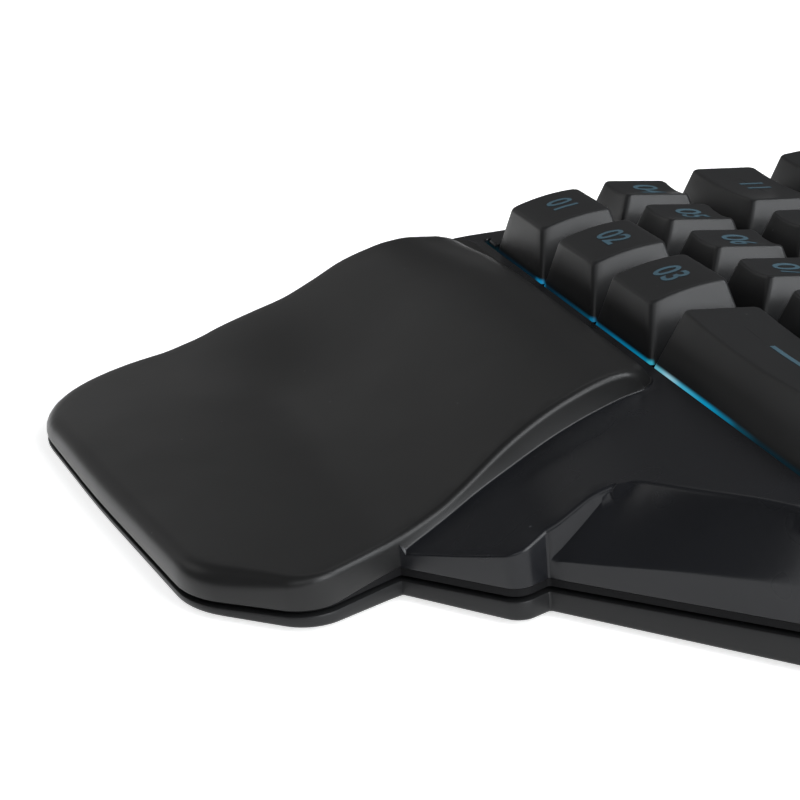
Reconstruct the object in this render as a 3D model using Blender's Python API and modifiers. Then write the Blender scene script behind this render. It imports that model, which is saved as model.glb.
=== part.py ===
"""One-handed gaming keypad: a sculpted two-part case with a palm rest, and six rows of sprung keys.

Everything is modelled in the deck's own frame: x to the user's right, y away from the user, z square to
the deck. Zero is on the deck, at the front edge of the keys and the left end of the front row. One empty
tilts that frame to the typing angle and stands it on the desk.
"""

import math

import bmesh
import bpy
from mathutils import Matrix, Vector
from mathutils.geometry import delaunay_2d_cdt, intersect_point_line

# Driving dimensions, in metres
KEY_PITCH = 0.01905
FIT_GAP = 0.0003
CASE_WALL = 0.0022
CASE_FLOOR = 0.002
OVERRUN = 0.004

# Case: borders round the keys, depth of the palm rest, heights and the typing angle
LEFT_BORDER = 0.0042
RIGHT_BORDER = 0.0174
BACK_BORDER = 0.009
PALM_DEPTH = 0.092
SEAM_DEPTH = 0.0172
SEAM_GAP = 0.0007
TRAY_FRONT_HEIGHT = 0.00074
TYPING_ANGLE = math.radians(2.46)

# Case outline: the radii of its corners, and their places as shares of the case's width and of a depth
FRONT_LEFT_RADIUS = 0.022
CHAMFER_RADIUS = 0.006
NEAR_CORNER_RADIUS = 0.005
NOTCH_RADIUS = 0.0006
STEP_RADIUS = 0.0035
WING_RADIUS = 0.012
SIDE_RADIUS = 0.014
BACK_RADIUS = 0.009
SMALLEST_RADIUS = 0.0003
CHAMFER_SHARES = (0.621, 0.864)
NEAR_CORNER_SHARES = (0.7045, 0.685)
NOTCH_SHARES = (0.666, 0.541)
STEP_SHARES = (0.763, 0.401)
WING_START_SHARES = (0.75, 0.346)
WING_TIP_SHARES = (1, -0.029)
SIDE_BEND_SHARES = (1, 0.5)
BACK_RIGHT_SHARES = (0.948, 1)
BACK_LEFT_SHARES = (0, 1)

# Palm rest: its crest over the deck, its fall to the front, its side wall and its edge
PALM_CREST = 0.0037
PALM_FALL = 0.0161
PALM_START = 0.003
PALM_EDGE = 0.0018
PALM_BACK_LEFT_RADIUS = 0.007
PALM_BACK_RIGHT_RADIUS = 0.005
PALM_WALL_BEND_RADIUS = 0.04
PALM_WALL_SHARES = (0.626, 0.304)
PALM_WALL_END_SHARE = 0.5955
PALM_CORNER_SHARE = 0.587
PALM_PROFILE_SHARES = (
    (0, 0.14), (0.045, 0.025), (0.09, 0), (0.16, 0.055), (0.24, 0.185), (0.32, 0.39), (0.4, 0.63),
    (0.44, 0.75), (0.48, 0.83), (0.52, 0.885), (0.56, 0.92), (0.67, 0.95), (1, 1),
)

# Ramp that falls from the deck beside the palm rest, and its twist towards the step
RAMP_FALL = 0.0132
RAMP_TWIST_SLOPE = 0.1
RAMP_TWIST_SHARES = (0.5, 0.66)
RAMP_PROFILE_SHARES = (
    (0, 0), (0.2, 0.035), (0.35, 0.14), (0.5, 0.29), (0.7, 0.565), (0.85, 0.81), (1, 1), (1.2, 1.05),
)
UNDERLAP = 0.004
WING_EDGE = 0.0006

# Side panel between the ridge, the crease on the deck and its low edge
RIDGE_STEP = 0.0002
RIDGE_SHARES = ((0.7495, 0.348), (0.751, 0.324), (0.7535, 0.291), (0.756, 0.259), (0.7587, 0.229))
CREASE_SHARES = ((0.826, 0.1445), (0.9125, 0.0585))
PANEL_DROP = 0.01265
PANEL_EDGE_SHARES = ((0, 1), (0.8, 0.775), (0.87, 0.74), (1, 0.05))

# Keycaps
CAP_HEIGHT = 0.009
CAP_SKIRT_DEPTH = 0.0012
CAP_SKIRT_INSET = 0.0005
CAP_INSET = 0.0039
CAP_WALL = 0.0014
CAP_CORNER = 0.0012
CAP_DISH = 0.0007
CAP_CROWN = 0.0006
THUMB_DISH = 0.0014
CAP_CEILING_SHARE = 0.6
CAP_SPANS = 4
THUMB_SPANS = 10
CROWN_ROWS = 3

# Rows from the front: name, left end and key widths in pitches, then shares of the cap's height and of its
# inset, at the front and the back of the top
ROW_START_SHARE = -0.25
ROW_SHARES = (
    ("front", 0, (1.25, 1.25, 1.25), (0.88, 1.08), (0.67, 0.76)),
    ("lower", ROW_START_SHARE, (1, 1, 1, 1, 1, 1, 1), (0.995, 0.785), (1.14, 0.54)),
    ("home", ROW_START_SHARE, (1.75, 1, 1, 1, 1, 1.25), (0.93, 0.762), (0.99, 0.59)),
    ("upper", ROW_START_SHARE, (1.5, 1, 1, 1, 1, 1.5), (0.93, 1.0), (0.9, 0.56)),
    ("number", ROW_START_SHARE, (1, 1, 1, 1, 1, 1, 1), (1.02, 1.17), (0.87, 0.62)),
    ("macro", ROW_START_SHARE, (1.4, 1.4, 1.4, 1.4, 1.4), (1.12, 1.3), (0.87, 0.68)),
)
THUMB_SHARES = (3.75, 3, (0.99, 0.8), (1.19, 0.37))
THUMB_GUIDE_SHARE = 0.3

# Stems, and the sleeves that guide them in the key plate
STEM_SIDE = 0.005
SLEEVE_WALL = 0.0012
SLEEVE_RISE = 0.006

# Key plate, and the sheets stacked under it
SKIRT_WALL = 0.0009
PLATE_DEPTH = 0.0051
PLATE_THICKNESS = 0.0014
DOME_HEIGHT = 0.0042
DOME_RADIUS = 0.0042
DOME_TOP_RADIUS = 0.0024
DOME_SKIN = 0.0006
DOME_SHEET = 0.0008
MEMBRANE = 0.0005
LIGHT_GUIDE = 0.0012
BACKING_PLATE = 0.001

# Screws, with their posts and bosses
POST_RADIUS = 0.0028
POST_ROOT = 0.001
BOSS_WALL = 0.0014
SEAT_THICKNESS = 0.0008
SCREW_RADIUS = 0.0011
SCREW_HEAD_RADIUS = 0.0024
SCREW_HEAD = 0.001
SCREW_LENGTH = 0.005
DRIVE_RADIUS = 0.0009
DRIVE_DEPTH = 0.0005
FRONT_SCREW_SHARES = ((0.085, 0.22), (0.1, 0.65), (0.575, 0.65), (0.69, 0.3))
BACK_SCREW_SHARES = ((0.935, 0.1), (0.942, 0.54), (0.845, 0.962), (0.085, 0.962))

# Tongue of the bottom cover, rubber feet, and posts that hold up the sheets
TONGUE_GAP = 0.0006
TONGUE_WIDTH = 0.0015
TONGUE_RISE = 0.0009
FOOT_LENGTH = 0.016
FOOT_WIDTH = 0.008
FOOT_PROUD = 0.001
FOOT_SINK = 0.0006
FOOT_CORNER_SHARE = 0.4
FRONT_FOOT_SHARES = ((0.17, 0.82), (0.5, 0.8), (0.66, 0.2))
BACK_FOOT_SHARES = ((0.1, 0.86), (0.85, 0.86), (0.87, 0.3))
SUPPORT_RADIUS = 0.003
SUPPORT_SHARES = ((0.12, 0.13), (0.5, 0.13), (0.8, 0.13), (0.12, 0.6), (0.5, 0.55), (0.8, 0.6))

# Controller board on its standoffs, and the cable gland behind it
BOARD_LENGTH = 0.042
BOARD_WIDTH = 0.022
BOARD_THICKNESS = 0.0016
STANDOFF_RADIUS = 0.0015
STANDOFF_HEIGHT = 0.0025
CHIP_SIDE = 0.008
CHIP_HEIGHT = 0.0012
BOARD_SHARES = (0.45, 0.8)
CHIP_SHARES = (-0.6, 0, 0.6)
GLAND_SHARE = 0.45
GLAND_BORE = 0.0017
GLAND_TIP_RADIUS = 0.0023
GLAND_RADIUS = 0.0027
GLAND_COLLAR_RADIUS = 0.0035
GLAND_COLLAR = 0.0012
GLAND_BOOT = 0.006

# Fineness of the meshes
ARC_ANGLE = math.radians(18)
SHARP_ANGLE = math.radians(35)
SURFACE_STEP = 0.006
ROUND_SIDES = 12
DOME_SIDES = 8

# Sizes and heights worked out from the ones above
FIELD_LEFT = ROW_START_SHARE * KEY_PITCH
FIELD_WIDTH = KEY_PITCH * sum(ROW_SHARES[1][2])
FIELD_DEPTH = KEY_PITCH * len(ROW_SHARES)
CASE_LEFT = FIELD_LEFT - LEFT_BORDER
CASE_RIGHT = FIELD_LEFT + FIELD_WIDTH + RIGHT_BORDER
CASE_WIDTH = CASE_RIGHT - CASE_LEFT
CASE_BACK = FIELD_DEPTH + BACK_BORDER
PALM_CORNER = CASE_LEFT + PALM_CORNER_SHARE * CASE_WIDTH
COVER_BOTTOM = -SEAM_DEPTH + SEAM_GAP / 2
TRAY_TOP = -SEAM_DEPTH - SEAM_GAP / 2
DECK_HEIGHT = TRAY_FRONT_HEIGHT - TRAY_TOP + PALM_DEPTH * math.tan(TYPING_ANGLE)
TONGUE_TOP = COVER_BOTTOM + TONGUE_RISE
TONGUE_INSET = CASE_WALL + TONGUE_GAP
POCKET_INSET = TONGUE_INSET + TONGUE_WIDTH
PLATE_TOP = -PLATE_DEPTH
PLATE_BOTTOM = PLATE_TOP - PLATE_THICKNESS
DOME_TOP = PLATE_BOTTOM - FIT_GAP
SHEET_TOP = DOME_TOP - DOME_HEIGHT
MEMBRANE_TOP = SHEET_TOP - DOME_SHEET - FIT_GAP
LIGHT_GUIDE_TOP = MEMBRANE_TOP - MEMBRANE - FIT_GAP
BACKING_TOP = LIGHT_GUIDE_TOP - LIGHT_GUIDE - FIT_GAP
BACKING_BOTTOM = BACKING_TOP - BACKING_PLATE
SCREW_SEAT = TRAY_TOP - SEAT_THICKNESS
SCREW_HOLE_RADIUS = SCREW_RADIUS + FIT_GAP
HEAD_RECESS_RADIUS = SCREW_HEAD_RADIUS + FIT_GAP


# Scene, materials and small solids

def new_collection(name):
    made = bpy.data.collections.new(name)
    bpy.context.scene.collection.children.link(made)
    return made


def finish_of(name, colour, roughness, metallic=0.0):
    made = bpy.data.materials.new(name)
    made.use_nodes = True
    shader = made.node_tree.nodes["Principled BSDF"]
    shader.inputs["Base Color"].default_value = (*colour, 1)
    shader.inputs["Roughness"].default_value = roughness
    shader.inputs["Metallic"].default_value = metallic
    return made


def mesh_from(bm, name):
    bmesh.ops.recalc_face_normals(bm, faces=bm.faces)
    mesh = bpy.data.meshes.new(name)
    bm.to_mesh(mesh)
    bm.free()
    return mesh


class Workshop:
    """Where pieces and cutters go: their collections, and the tilted empty that carries them."""

    def __init__(self):
        for obj in list(bpy.data.objects):
            bpy.data.objects.remove(obj, do_unlink=True)
        self.parts = new_collection("gaming_keypad")
        self.cutters = new_collection("cutters")
        self.plane = bpy.data.objects.new("typing_plane", None)
        self.plane.rotation_euler.x = TYPING_ANGLE
        self.parts.objects.link(self.plane)

    def piece(self, name, mesh, material, place=(0, 0, 0)):
        obj = bpy.data.objects.new(name, mesh)
        if not mesh.materials:
            mesh.materials.append(material)
            mesh.shade_smooth()
            mesh.set_sharp_from_angle(angle=SHARP_ANGLE)
        obj.location = place
        obj.parent = self.plane
        self.parts.objects.link(obj)
        return obj

    def change(self, obj, operation, mesh, place=(0, 0, 0)):
        """Join a mesh to a piece, or cut it out of it."""
        tool = bpy.data.objects.new(f"{operation.lower()}_{mesh.name}", mesh)
        tool.location = place
        tool.parent = self.plane
        tool.hide_render = True
        tool.display_type = "WIRE"
        self.cutters.objects.link(tool)
        modifier = obj.modifiers.new(mesh.name, "BOOLEAN")
        modifier.operation = operation
        modifier.object = tool
        modifier.solver = "EXACT"

    def stand_on_desk(self):
        """Move everything so that the middle of its footprint is the origin and its feet are at zero."""
        view = bpy.context.view_layer
        view.update()
        graph = bpy.context.evaluated_depsgraph_get()
        corners = []
        for obj in self.parts.objects:
            if obj.type == "MESH":
                finished = obj.evaluated_get(graph).to_mesh()
                corners += [obj.matrix_world @ vert.co for vert in finished.vertices]
        low, high = (Vector(pick(axis) for axis in zip(*corners)) for pick in (min, max))
        middle = (low + high) / 2
        self.plane.location = (-middle.x, -middle.y, -low.z)


def boxes(name, spans):
    """One mesh of separate boxes, each given by its lowest and highest corners."""
    bm = bmesh.new()
    for low, high in spans:
        size = Vector(high) - Vector(low)
        place = Matrix.Translation((Vector(high) + Vector(low)) / 2) @ Matrix.Diagonal((*size, 1))
        bmesh.ops.create_cube(bm, size=1, matrix=place)
    return mesh_from(bm, name)


def pegs(name, places, radius, low, high, top_radius=None, sides=ROUND_SIDES):
    """One mesh of upright cylinders or cones; low and high are heights, or functions of the place."""
    bm = bmesh.new()
    for x, y in places:
        bottom = low(x, y) if callable(low) else low
        top = high(x, y) if callable(high) else high
        bmesh.ops.create_cone(
            bm, cap_ends=True, segments=sides, radius1=radius, radius2=top_radius or radius,
            depth=top - bottom, matrix=Matrix.Translation((x, y, (top + bottom) / 2)),
        )
    return mesh_from(bm, name)


def turned_mesh(name, profile):
    """A turned piece's profile of (radius, height) points, closed unless it starts on the axis."""
    bm = bmesh.new()
    points = [bm.verts.new((radius, 0, height)) for radius, height in profile]
    for start, end in zip(points, points[1:]):
        bm.edges.new((start, end))
    if profile[0][0]:
        bm.edges.new((points[-1], points[0]))
    mesh = bpy.data.meshes.new(name)
    bm.to_mesh(mesh)
    bm.free()
    return mesh


def turn(obj):
    screw = obj.modifiers.new("turn", "SCREW")
    screw.steps = ROUND_SIDES
    screw.render_steps = ROUND_SIDES
    screw.use_merge_vertices = True
    screw.merge_threshold = SMALLEST_RADIUS / 10


# Curves and outlines

def through(points, at):
    """The value at a place on the smooth curve through the given points, with no overshoot."""
    places = [place for place, _ in points]
    values = [value for _, value in points]
    at = min(max(at, places[0]), places[-1])
    spans = [end - start for start, end in zip(places, places[1:])]
    slopes = [(b - a) / span for a, b, span in zip(values, values[1:], spans)]
    tangents = [slopes[0]]
    for before, after in zip(slopes, slopes[1:]):
        tangents.append(0 if before * after <= 0 else 2 * before * after / (before + after))
    tangents.append(slopes[-1])
    index = next(i for i, end in enumerate(places[1:]) if at <= end)
    span = spans[index]
    t = (at - places[index]) / span
    return (
        values[index] * (2 * t**3 - 3 * t**2 + 1)
        + tangents[index] * span * (t**3 - 2 * t**2 + t)
        + values[index + 1] * (3 * t**2 - 2 * t**3)
        + tangents[index + 1] * span * (t**3 - t**2)
    )


def reading(line, value, axis):
    """Where a line of plan points crosses a value of one axis, carried on straight past its ends."""
    other = 1 - axis
    pairs = list(zip(line, line[1:]))
    start, end = next((pair for pair in pairs if value <= pair[1][axis]), pairs[-1])
    share = (value - start[axis]) / (end[axis] - start[axis])
    return start[other] + share * (end[other] - start[other])


def directions(corners, index):
    corner = Vector(corners[index][:2])
    before = (corner - Vector(corners[index - 1][:2])).normalized()
    after = (Vector(corners[(index + 1) % len(corners)][:2]) - corner).normalized()
    return corner, before, after


def arc_reach(before, after, radius):
    """How far back from a corner its arc begins, and the angle it turns through."""
    turning = math.atan2(before.cross(after), before.dot(after))
    return radius * math.tan(abs(turning) / 2), turning


def rounded(corners):
    """The outline through corners of (x, y, radius), run anticlockwise, with an arc at each."""
    outline = []
    for index, (_, _, radius) in enumerate(corners):
        corner, before, after = directions(corners, index)
        reach, turning = arc_reach(before, after, radius)
        side = Vector((-before.y, before.x)) * math.copysign(radius, turning)
        centre = corner - before * reach + side
        steps = max(2, math.ceil(abs(turning) / ARC_ANGLE))
        for step in range(steps + 1):
            spoke = -side
            spoke.rotate(Matrix.Rotation(turning * step / steps, 2))
            outline.append(centre + spoke)
    return outline


def inset(corners, distance):
    """The corners moved inwards, so that every edge and arc keeps that distance."""
    moved = []
    for index, (_, _, radius) in enumerate(corners):
        corner, before, after = directions(corners, index)
        inward = Vector((-before.y - after.y, before.x + after.x)) / (1 + before.dot(after))
        left = radius - math.copysign(distance, before.cross(after))
        moved.append((*(corner + inward * distance), max(left, SMALLEST_RADIUS)))
    return moved


def stepped(outline):
    """The outline with points added along its straight runs in front of the deck."""
    finer = []
    for index, start in enumerate(outline):
        end = outline[(index + 1) % len(outline)]
        count = math.ceil((end - start).length / SURFACE_STEP) if min(start.y, end.y) < 0 else 1
        finer += [start.lerp(end, share / count) for share in range(count)]
    return finer


def edge_distance(x, y, outline):
    """How far a place in plan is from the outline."""
    place = Vector((x, y))
    nearest = []
    for index, start in enumerate(outline):
        end = outline[(index + 1) % len(outline)]
        _, share = intersect_point_line(place.to_3d(), start.to_3d(), end.to_3d())
        nearest.append((start.lerp(end, min(max(share, 0), 1)) - place).length)
    return min(nearest)


def fallen(distance, radius):
    """How far a rounded edge has dropped at a distance in from the outline."""
    left = max(radius - distance, 0)
    return radius - math.sqrt(radius**2 - left**2)


def is_inside(spot, outline):
    crossings = 0
    for index, start in enumerate(outline):
        end = outline[(index + 1) % len(outline)]
        if (start.y > spot.y) != (end.y > spot.y):
            crossings += spot.x < start.x + (spot.y - start.y) * (end.x - start.x) / (end.y - start.y)
    return crossings % 2 == 1


def column(name, outline, low, high, loops=(), lines=(), spots=()):
    """A solid over a plan outline, from its flat low face to its high surface.

    The loops, lines and spots are plan points that the high surface's mesh runs through.
    """
    plan, edges = [], []
    for loop in (outline, *loops):
        first = len(plan)
        plan += loop
        edges += [(first + i, first + (i + 1) % len(loop)) for i in range(len(loop))]
    for line in lines:
        first = len(plan)
        plan += line
        edges += [(first + i, first + i + 1) for i in range(len(line) - 1)]
    plan += [spot for spot in spots if is_inside(spot, outline)]
    outer = [list(range(len(outline)))]
    places, _, faces, _, _, _ = delaunay_2d_cdt(plan, edges, outer, 1, SMALLEST_RADIUS / 100)
    bm = bmesh.new()
    top = [bm.verts.new((x, y, high(x, y))) for x, y in places]
    for face in faces:
        bm.faces.new([top[i] for i in face])
    for vert in top:
        if not vert.link_faces:
            bm.verts.remove(vert)
    rim = [edge for edge in bm.edges if edge.is_boundary]
    for item in bmesh.ops.extrude_edge_only(bm, edges=rim)["geom"]:
        if isinstance(item, bmesh.types.BMVert):
            item.co.z = low(item.co.x, item.co.y)
    bmesh.ops.edgeloop_fill(bm, edges=[edge for edge in bm.edges if edge.is_boundary])
    return mesh_from(bm, name)


def spots_between(low, high):
    """A grid of plan points over an area."""
    size = Vector(high) - Vector(low)
    counts = [max(1, round(length / SURFACE_STEP)) for length in size]
    return [
        Vector((low[0] + size.x * (i + 0.5) / counts[0], low[1] + size.y * (j + 0.5) / counts[1]))
        for i in range(counts[0])
        for j in range(counts[1])
    ]


def level(height):
    return lambda x, y: height


# Plan of the case

def front_point(shares):
    """A place in front of the deck, from its shares of the case's width and the palm rest's depth."""
    return Vector((CASE_LEFT + shares[0] * CASE_WIDTH, -shares[1] * PALM_DEPTH))


def back_point(shares):
    """A place behind the deck's edge, from its shares of the case's width and of its depth there."""
    return Vector((CASE_LEFT + shares[0] * CASE_WIDTH, shares[1] * CASE_BACK))


def palm_front_corners():
    return [
        (CASE_LEFT, -PALM_DEPTH, FRONT_LEFT_RADIUS),
        (*front_point(CHAMFER_SHARES), CHAMFER_RADIUS),
        (*front_point(NEAR_CORNER_SHARES), NEAR_CORNER_RADIUS),
    ]


def wing_and_back_corners():
    return [
        (*front_point(STEP_SHARES), STEP_RADIUS),
        (*front_point(WING_START_SHARES), NOTCH_RADIUS),
        (*front_point(WING_TIP_SHARES), WING_RADIUS),
        (*back_point(SIDE_BEND_SHARES), SIDE_RADIUS),
        (*back_point(BACK_RIGHT_SHARES), BACK_RADIUS),
        (*back_point(BACK_LEFT_SHARES), BACK_RADIUS),
    ]


def case_corners():
    return [*palm_front_corners(), (*front_point(NOTCH_SHARES), NOTCH_RADIUS), *wing_and_back_corners()]


def palm_wall_line():
    """The palm rest's right wall in plan, from the notch to its back corner."""
    end = (CASE_LEFT + PALM_WALL_END_SHARE * CASE_WIDTH, -PALM_START - PALM_BACK_RIGHT_RADIUS)
    return [front_point(NOTCH_SHARES), front_point(PALM_WALL_SHARES), Vector(end)]


def palm_corners():
    return [
        *palm_front_corners(),
        *((*point, PALM_WALL_BEND_RADIUS) for point in palm_wall_line()),
        (PALM_CORNER, -PALM_START, PALM_BACK_RIGHT_RADIUS),
        (CASE_LEFT, -PALM_START, PALM_BACK_LEFT_RADIUS),
    ]


def body_corners():
    """The deck, ramp and wing, carried on a little way under the palm rest."""
    notch, step = front_point(NOTCH_SHARES), front_point(STEP_SHARES)
    under = notch + (notch - step).normalized() * UNDERLAP
    left = -PALM_START - PALM_BACK_LEFT_RADIUS - UNDERLAP
    return [
        (*under, SMALLEST_RADIUS),
        *wing_and_back_corners(),
        (CASE_LEFT, left, SMALLEST_RADIUS),
        (CASE_LEFT + UNDERLAP, left - UNDERLAP, SMALLEST_RADIUS),
    ]


def wing_tip_start():
    """Where the side panel's straight low edge ends and the wing tip's arc begins."""
    corner, before, after = directions(wing_and_back_corners(), 2)
    reach, _ = arc_reach(before, after, WING_RADIUS)
    return corner - before * reach


# Top surfaces of the case

def palm_top(x, y):
    share = (-y - PALM_START) / (PALM_DEPTH - PALM_START)
    return PALM_CREST - PALM_FALL * through(PALM_PROFILE_SHARES, share)


def palm_wall_x(y):
    return reading(palm_wall_line(), y, 1)


def ramp_top(x, y):
    share = y / front_point(NOTCH_SHARES).y
    start, full = RAMP_TWIST_SHARES
    twist = RAMP_TWIST_SLOPE * min(max((share - start) / (full - start), 0), 1)
    return -RAMP_FALL * through(RAMP_PROFILE_SHARES, share) - twist * max(x - palm_wall_x(y), 0)


def ridge_line():
    return [front_point(shares) for shares in RIDGE_SHARES]


def crease_line():
    return [ridge_line()[-1], *(front_point(shares) for shares in CREASE_SHARES), wing_tip_start()]


def is_on_panel(x, y):
    ridge = ridge_line()
    if y < ridge[0].y or y > wing_tip_start().y:
        return False
    return x > reading(ridge if y < ridge[-1].y else crease_line(), y, 1)


def panel_top(x, y):
    """The side panel, straight from its low edge up to the crease."""
    start, end = front_point(WING_START_SHARES), wing_tip_start()
    low_edge = reading([start, end], x, 0)
    high_edge = max(reading(crease_line(), x, 0), low_edge + SMALLEST_RADIUS)
    low_height = -PANEL_DROP * through(PANEL_EDGE_SHARES, (x - start.x) / (end.x - start.x))
    share = min(max((y - low_edge) / (high_edge - low_edge), 0), 1)
    return low_height + share * (ramp_top(x, high_edge) - low_height)


def body_top(x, y):
    return panel_top(x, y) if is_on_panel(x, y) else ramp_top(x, y)


def case_bottom(x, y):
    """The case's underside, level with the desk."""
    return -DECK_HEIGHT - y * math.tan(TYPING_ANGLE)


def above_bottom(rise):
    return lambda x, y: case_bottom(x, y) + rise


# Top cover

def palm_spots():
    low = (CASE_LEFT + UNDERLAP, -PALM_DEPTH + UNDERLAP)
    return spots_between(low, (PALM_CORNER, -PALM_START - UNDERLAP))


def palm_block():
    corners = palm_corners()
    outline = stepped(rounded(corners))
    loops = [stepped(rounded(inset(corners, PALM_EDGE * share))) for share in (0.3, 1)]

    def top(x, y):
        return palm_top(x, y) - fallen(edge_distance(x, y, outline), PALM_EDGE)

    return column("palm_rest", outline, level(COVER_BOTTOM), top, loops, spots=palm_spots())


def body_block():
    corners = body_corners()
    outline = stepped(rounded(corners))
    ridge, crease = ridge_line(), crease_line()
    aside = Vector((RIDGE_STEP, 0))
    brow = [point - aside for point in ridge[:-1]] + ridge[-1:]
    foot = [point + aside for point in ridge[:-1]] + ridge[-1:]
    pairs = zip(crease, crease[1:])
    crease = [start.lerp(end, step / 3) for start, end in pairs for step in range(3)] + crease[-1:]
    ramp_start = (PALM_CORNER - UNDERLAP, front_point(NOTCH_SHARES).y)
    spots = spots_between(ramp_start, (ridge[0].x - UNDERLAP / 2, -UNDERLAP / 2))
    spots += spots_between((ridge[0].x, ridge[-1].y), (wing_tip_start().x - UNDERLAP, -UNDERLAP / 2))
    spots = [spot for spot in spots if not is_on_panel(spot.x + UNDERLAP / 2, spot.y)]

    def top(x, y):
        return body_top(x, y) - fallen(edge_distance(x, y, outline), WING_EDGE)

    loops = [stepped(rounded(inset(corners, WING_EDGE)))]
    return column("deck_and_wing", outline, level(COVER_BOTTOM), top, loops, [brow, foot, crease], spots)


def palm_core():
    outline = stepped(rounded(inset(palm_corners(), CASE_WALL)))

    def ceiling(x, y):
        return palm_top(x, y) - CASE_WALL

    return column("palm_hollow", outline, level(COVER_BOTTOM - OVERRUN), ceiling, spots=palm_spots())


def body_core():
    outline = stepped(rounded(inset(body_corners(), CASE_WALL)))
    outward = Vector((CASE_WALL, -CASE_WALL))

    def ceiling(x, y):
        return min(body_top(x, y), body_top(x + outward.x, y + outward.y)) - CASE_WALL

    spots = spots_between((PALM_CORNER - UNDERLAP, front_point(NOTCH_SHARES).y), (CASE_RIGHT, 0))
    return column("body_hollow", outline, level(COVER_BOTTOM - OVERRUN), ceiling, spots=spots)


def key_opening(margin):
    """Lowest and highest plan corners of the key opening, with a margin round it."""
    spare = FIT_GAP + margin
    return (FIELD_LEFT - spare, -spare), (FIELD_LEFT + FIELD_WIDTH + spare, FIELD_DEPTH + spare)


def opening_box(name, margin, bottom, top):
    low, high = key_opening(margin)
    return boxes(name, [((*low, bottom), (*high, top))])


def screw_places():
    front = [front_point(shares) for shares in FRONT_SCREW_SHARES]
    return front + [back_point(shares) for shares in BACK_SCREW_SHARES]


def case_top(x, y):
    is_on_palm = y < -PALM_START and x < palm_wall_x(y)
    return palm_top(x, y) if is_on_palm else body_top(x, y)


def post_root(x, y):
    """Where a post ends inside the top wall, under the lowest place over it."""
    shifts = (-POST_RADIUS, 0, POST_RADIUS)
    return min(case_top(x + right, y + back) for right in shifts for back in shifts) - POST_ROOT


def corner_fill():
    """Fills the deck beside the shorter front row, and leaves a slot for the light before it."""
    low, _ = key_opening(SKIRT_WALL)
    front = (low[0], CAP_SKIRT_INSET, PLATE_TOP + FIT_GAP)
    return boxes("corner_fill", [(front, (-FIT_GAP, KEY_PITCH - FIT_GAP, 0))])


def make_top_cover(shop, material):
    cover = shop.piece("top_cover", palm_block(), material)
    shop.change(cover, "UNION", body_block())
    shop.change(cover, "DIFFERENCE", palm_core())
    shop.change(cover, "DIFFERENCE", body_core())
    shop.change(cover, "UNION", opening_box("key_skirt", SKIRT_WALL, PLATE_TOP + FIT_GAP, -CASE_WALL / 2))
    places = screw_places()
    shop.change(cover, "UNION", pegs("screw_posts", places, POST_RADIUS, COVER_BOTTOM, post_root))
    shop.change(cover, "DIFFERENCE", opening_box("key_opening", 0, PLATE_TOP - OVERRUN, OVERRUN))
    shop.change(cover, "UNION", corner_fill())
    pilot_end = SCREW_SEAT + SCREW_LENGTH
    pilots = pegs("pilot_holes", places, SCREW_HOLE_RADIUS, COVER_BOTTOM - OVERRUN, pilot_end)
    shop.change(cover, "DIFFERENCE", pilots)


# Bottom cover and what stands on it

def foot_places():
    front = [front_point(shares) for shares in FRONT_FOOT_SHARES]
    return front + [back_point(shares) for shares in BACK_FOOT_SHARES]


def foot_outline(place, margin):
    half_length, half_width = FOOT_LENGTH / 2 + margin, FOOT_WIDTH / 2 + margin
    radius = FOOT_WIDTH * FOOT_CORNER_SHARE
    signs = ((-1, -1), (1, -1), (1, 1), (-1, 1))
    return rounded([(place.x + i * half_length, place.y + j * half_width, radius) for i, j in signs])


def board_bottom():
    front = back_point(BOARD_SHARES).y - BOARD_WIDTH / 2
    return case_bottom(0, front) + CASE_FLOOR + STANDOFF_HEIGHT


def board_standoffs():
    centre = back_point(BOARD_SHARES)
    reach = Vector((BOARD_LENGTH, BOARD_WIDTH)) / 2 - Vector((STANDOFF_RADIUS, STANDOFF_RADIUS))
    return [centre + Vector((i * reach.x, j * reach.y)) for i in (-1, 1) for j in (-1, 1)]


def gland_place():
    x, y = back_point((GLAND_SHARE, 1))
    floor = case_bottom(x, y - POCKET_INSET) + CASE_FLOOR
    return Vector((x, y, (TRAY_TOP + floor) / 2))


def gland_hole():
    bm = bmesh.new()
    radius = GLAND_RADIUS + FIT_GAP
    place = Matrix.Translation(gland_place()) @ Matrix.Rotation(math.pi / 2, 4, "X")
    bmesh.ops.create_cone(
        bm, cap_ends=True, segments=ROUND_SIDES, radius1=radius, radius2=radius,
        depth=2 * (POCKET_INSET + OVERRUN), matrix=place,
    )
    return mesh_from(bm, "gland_hole")


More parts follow.
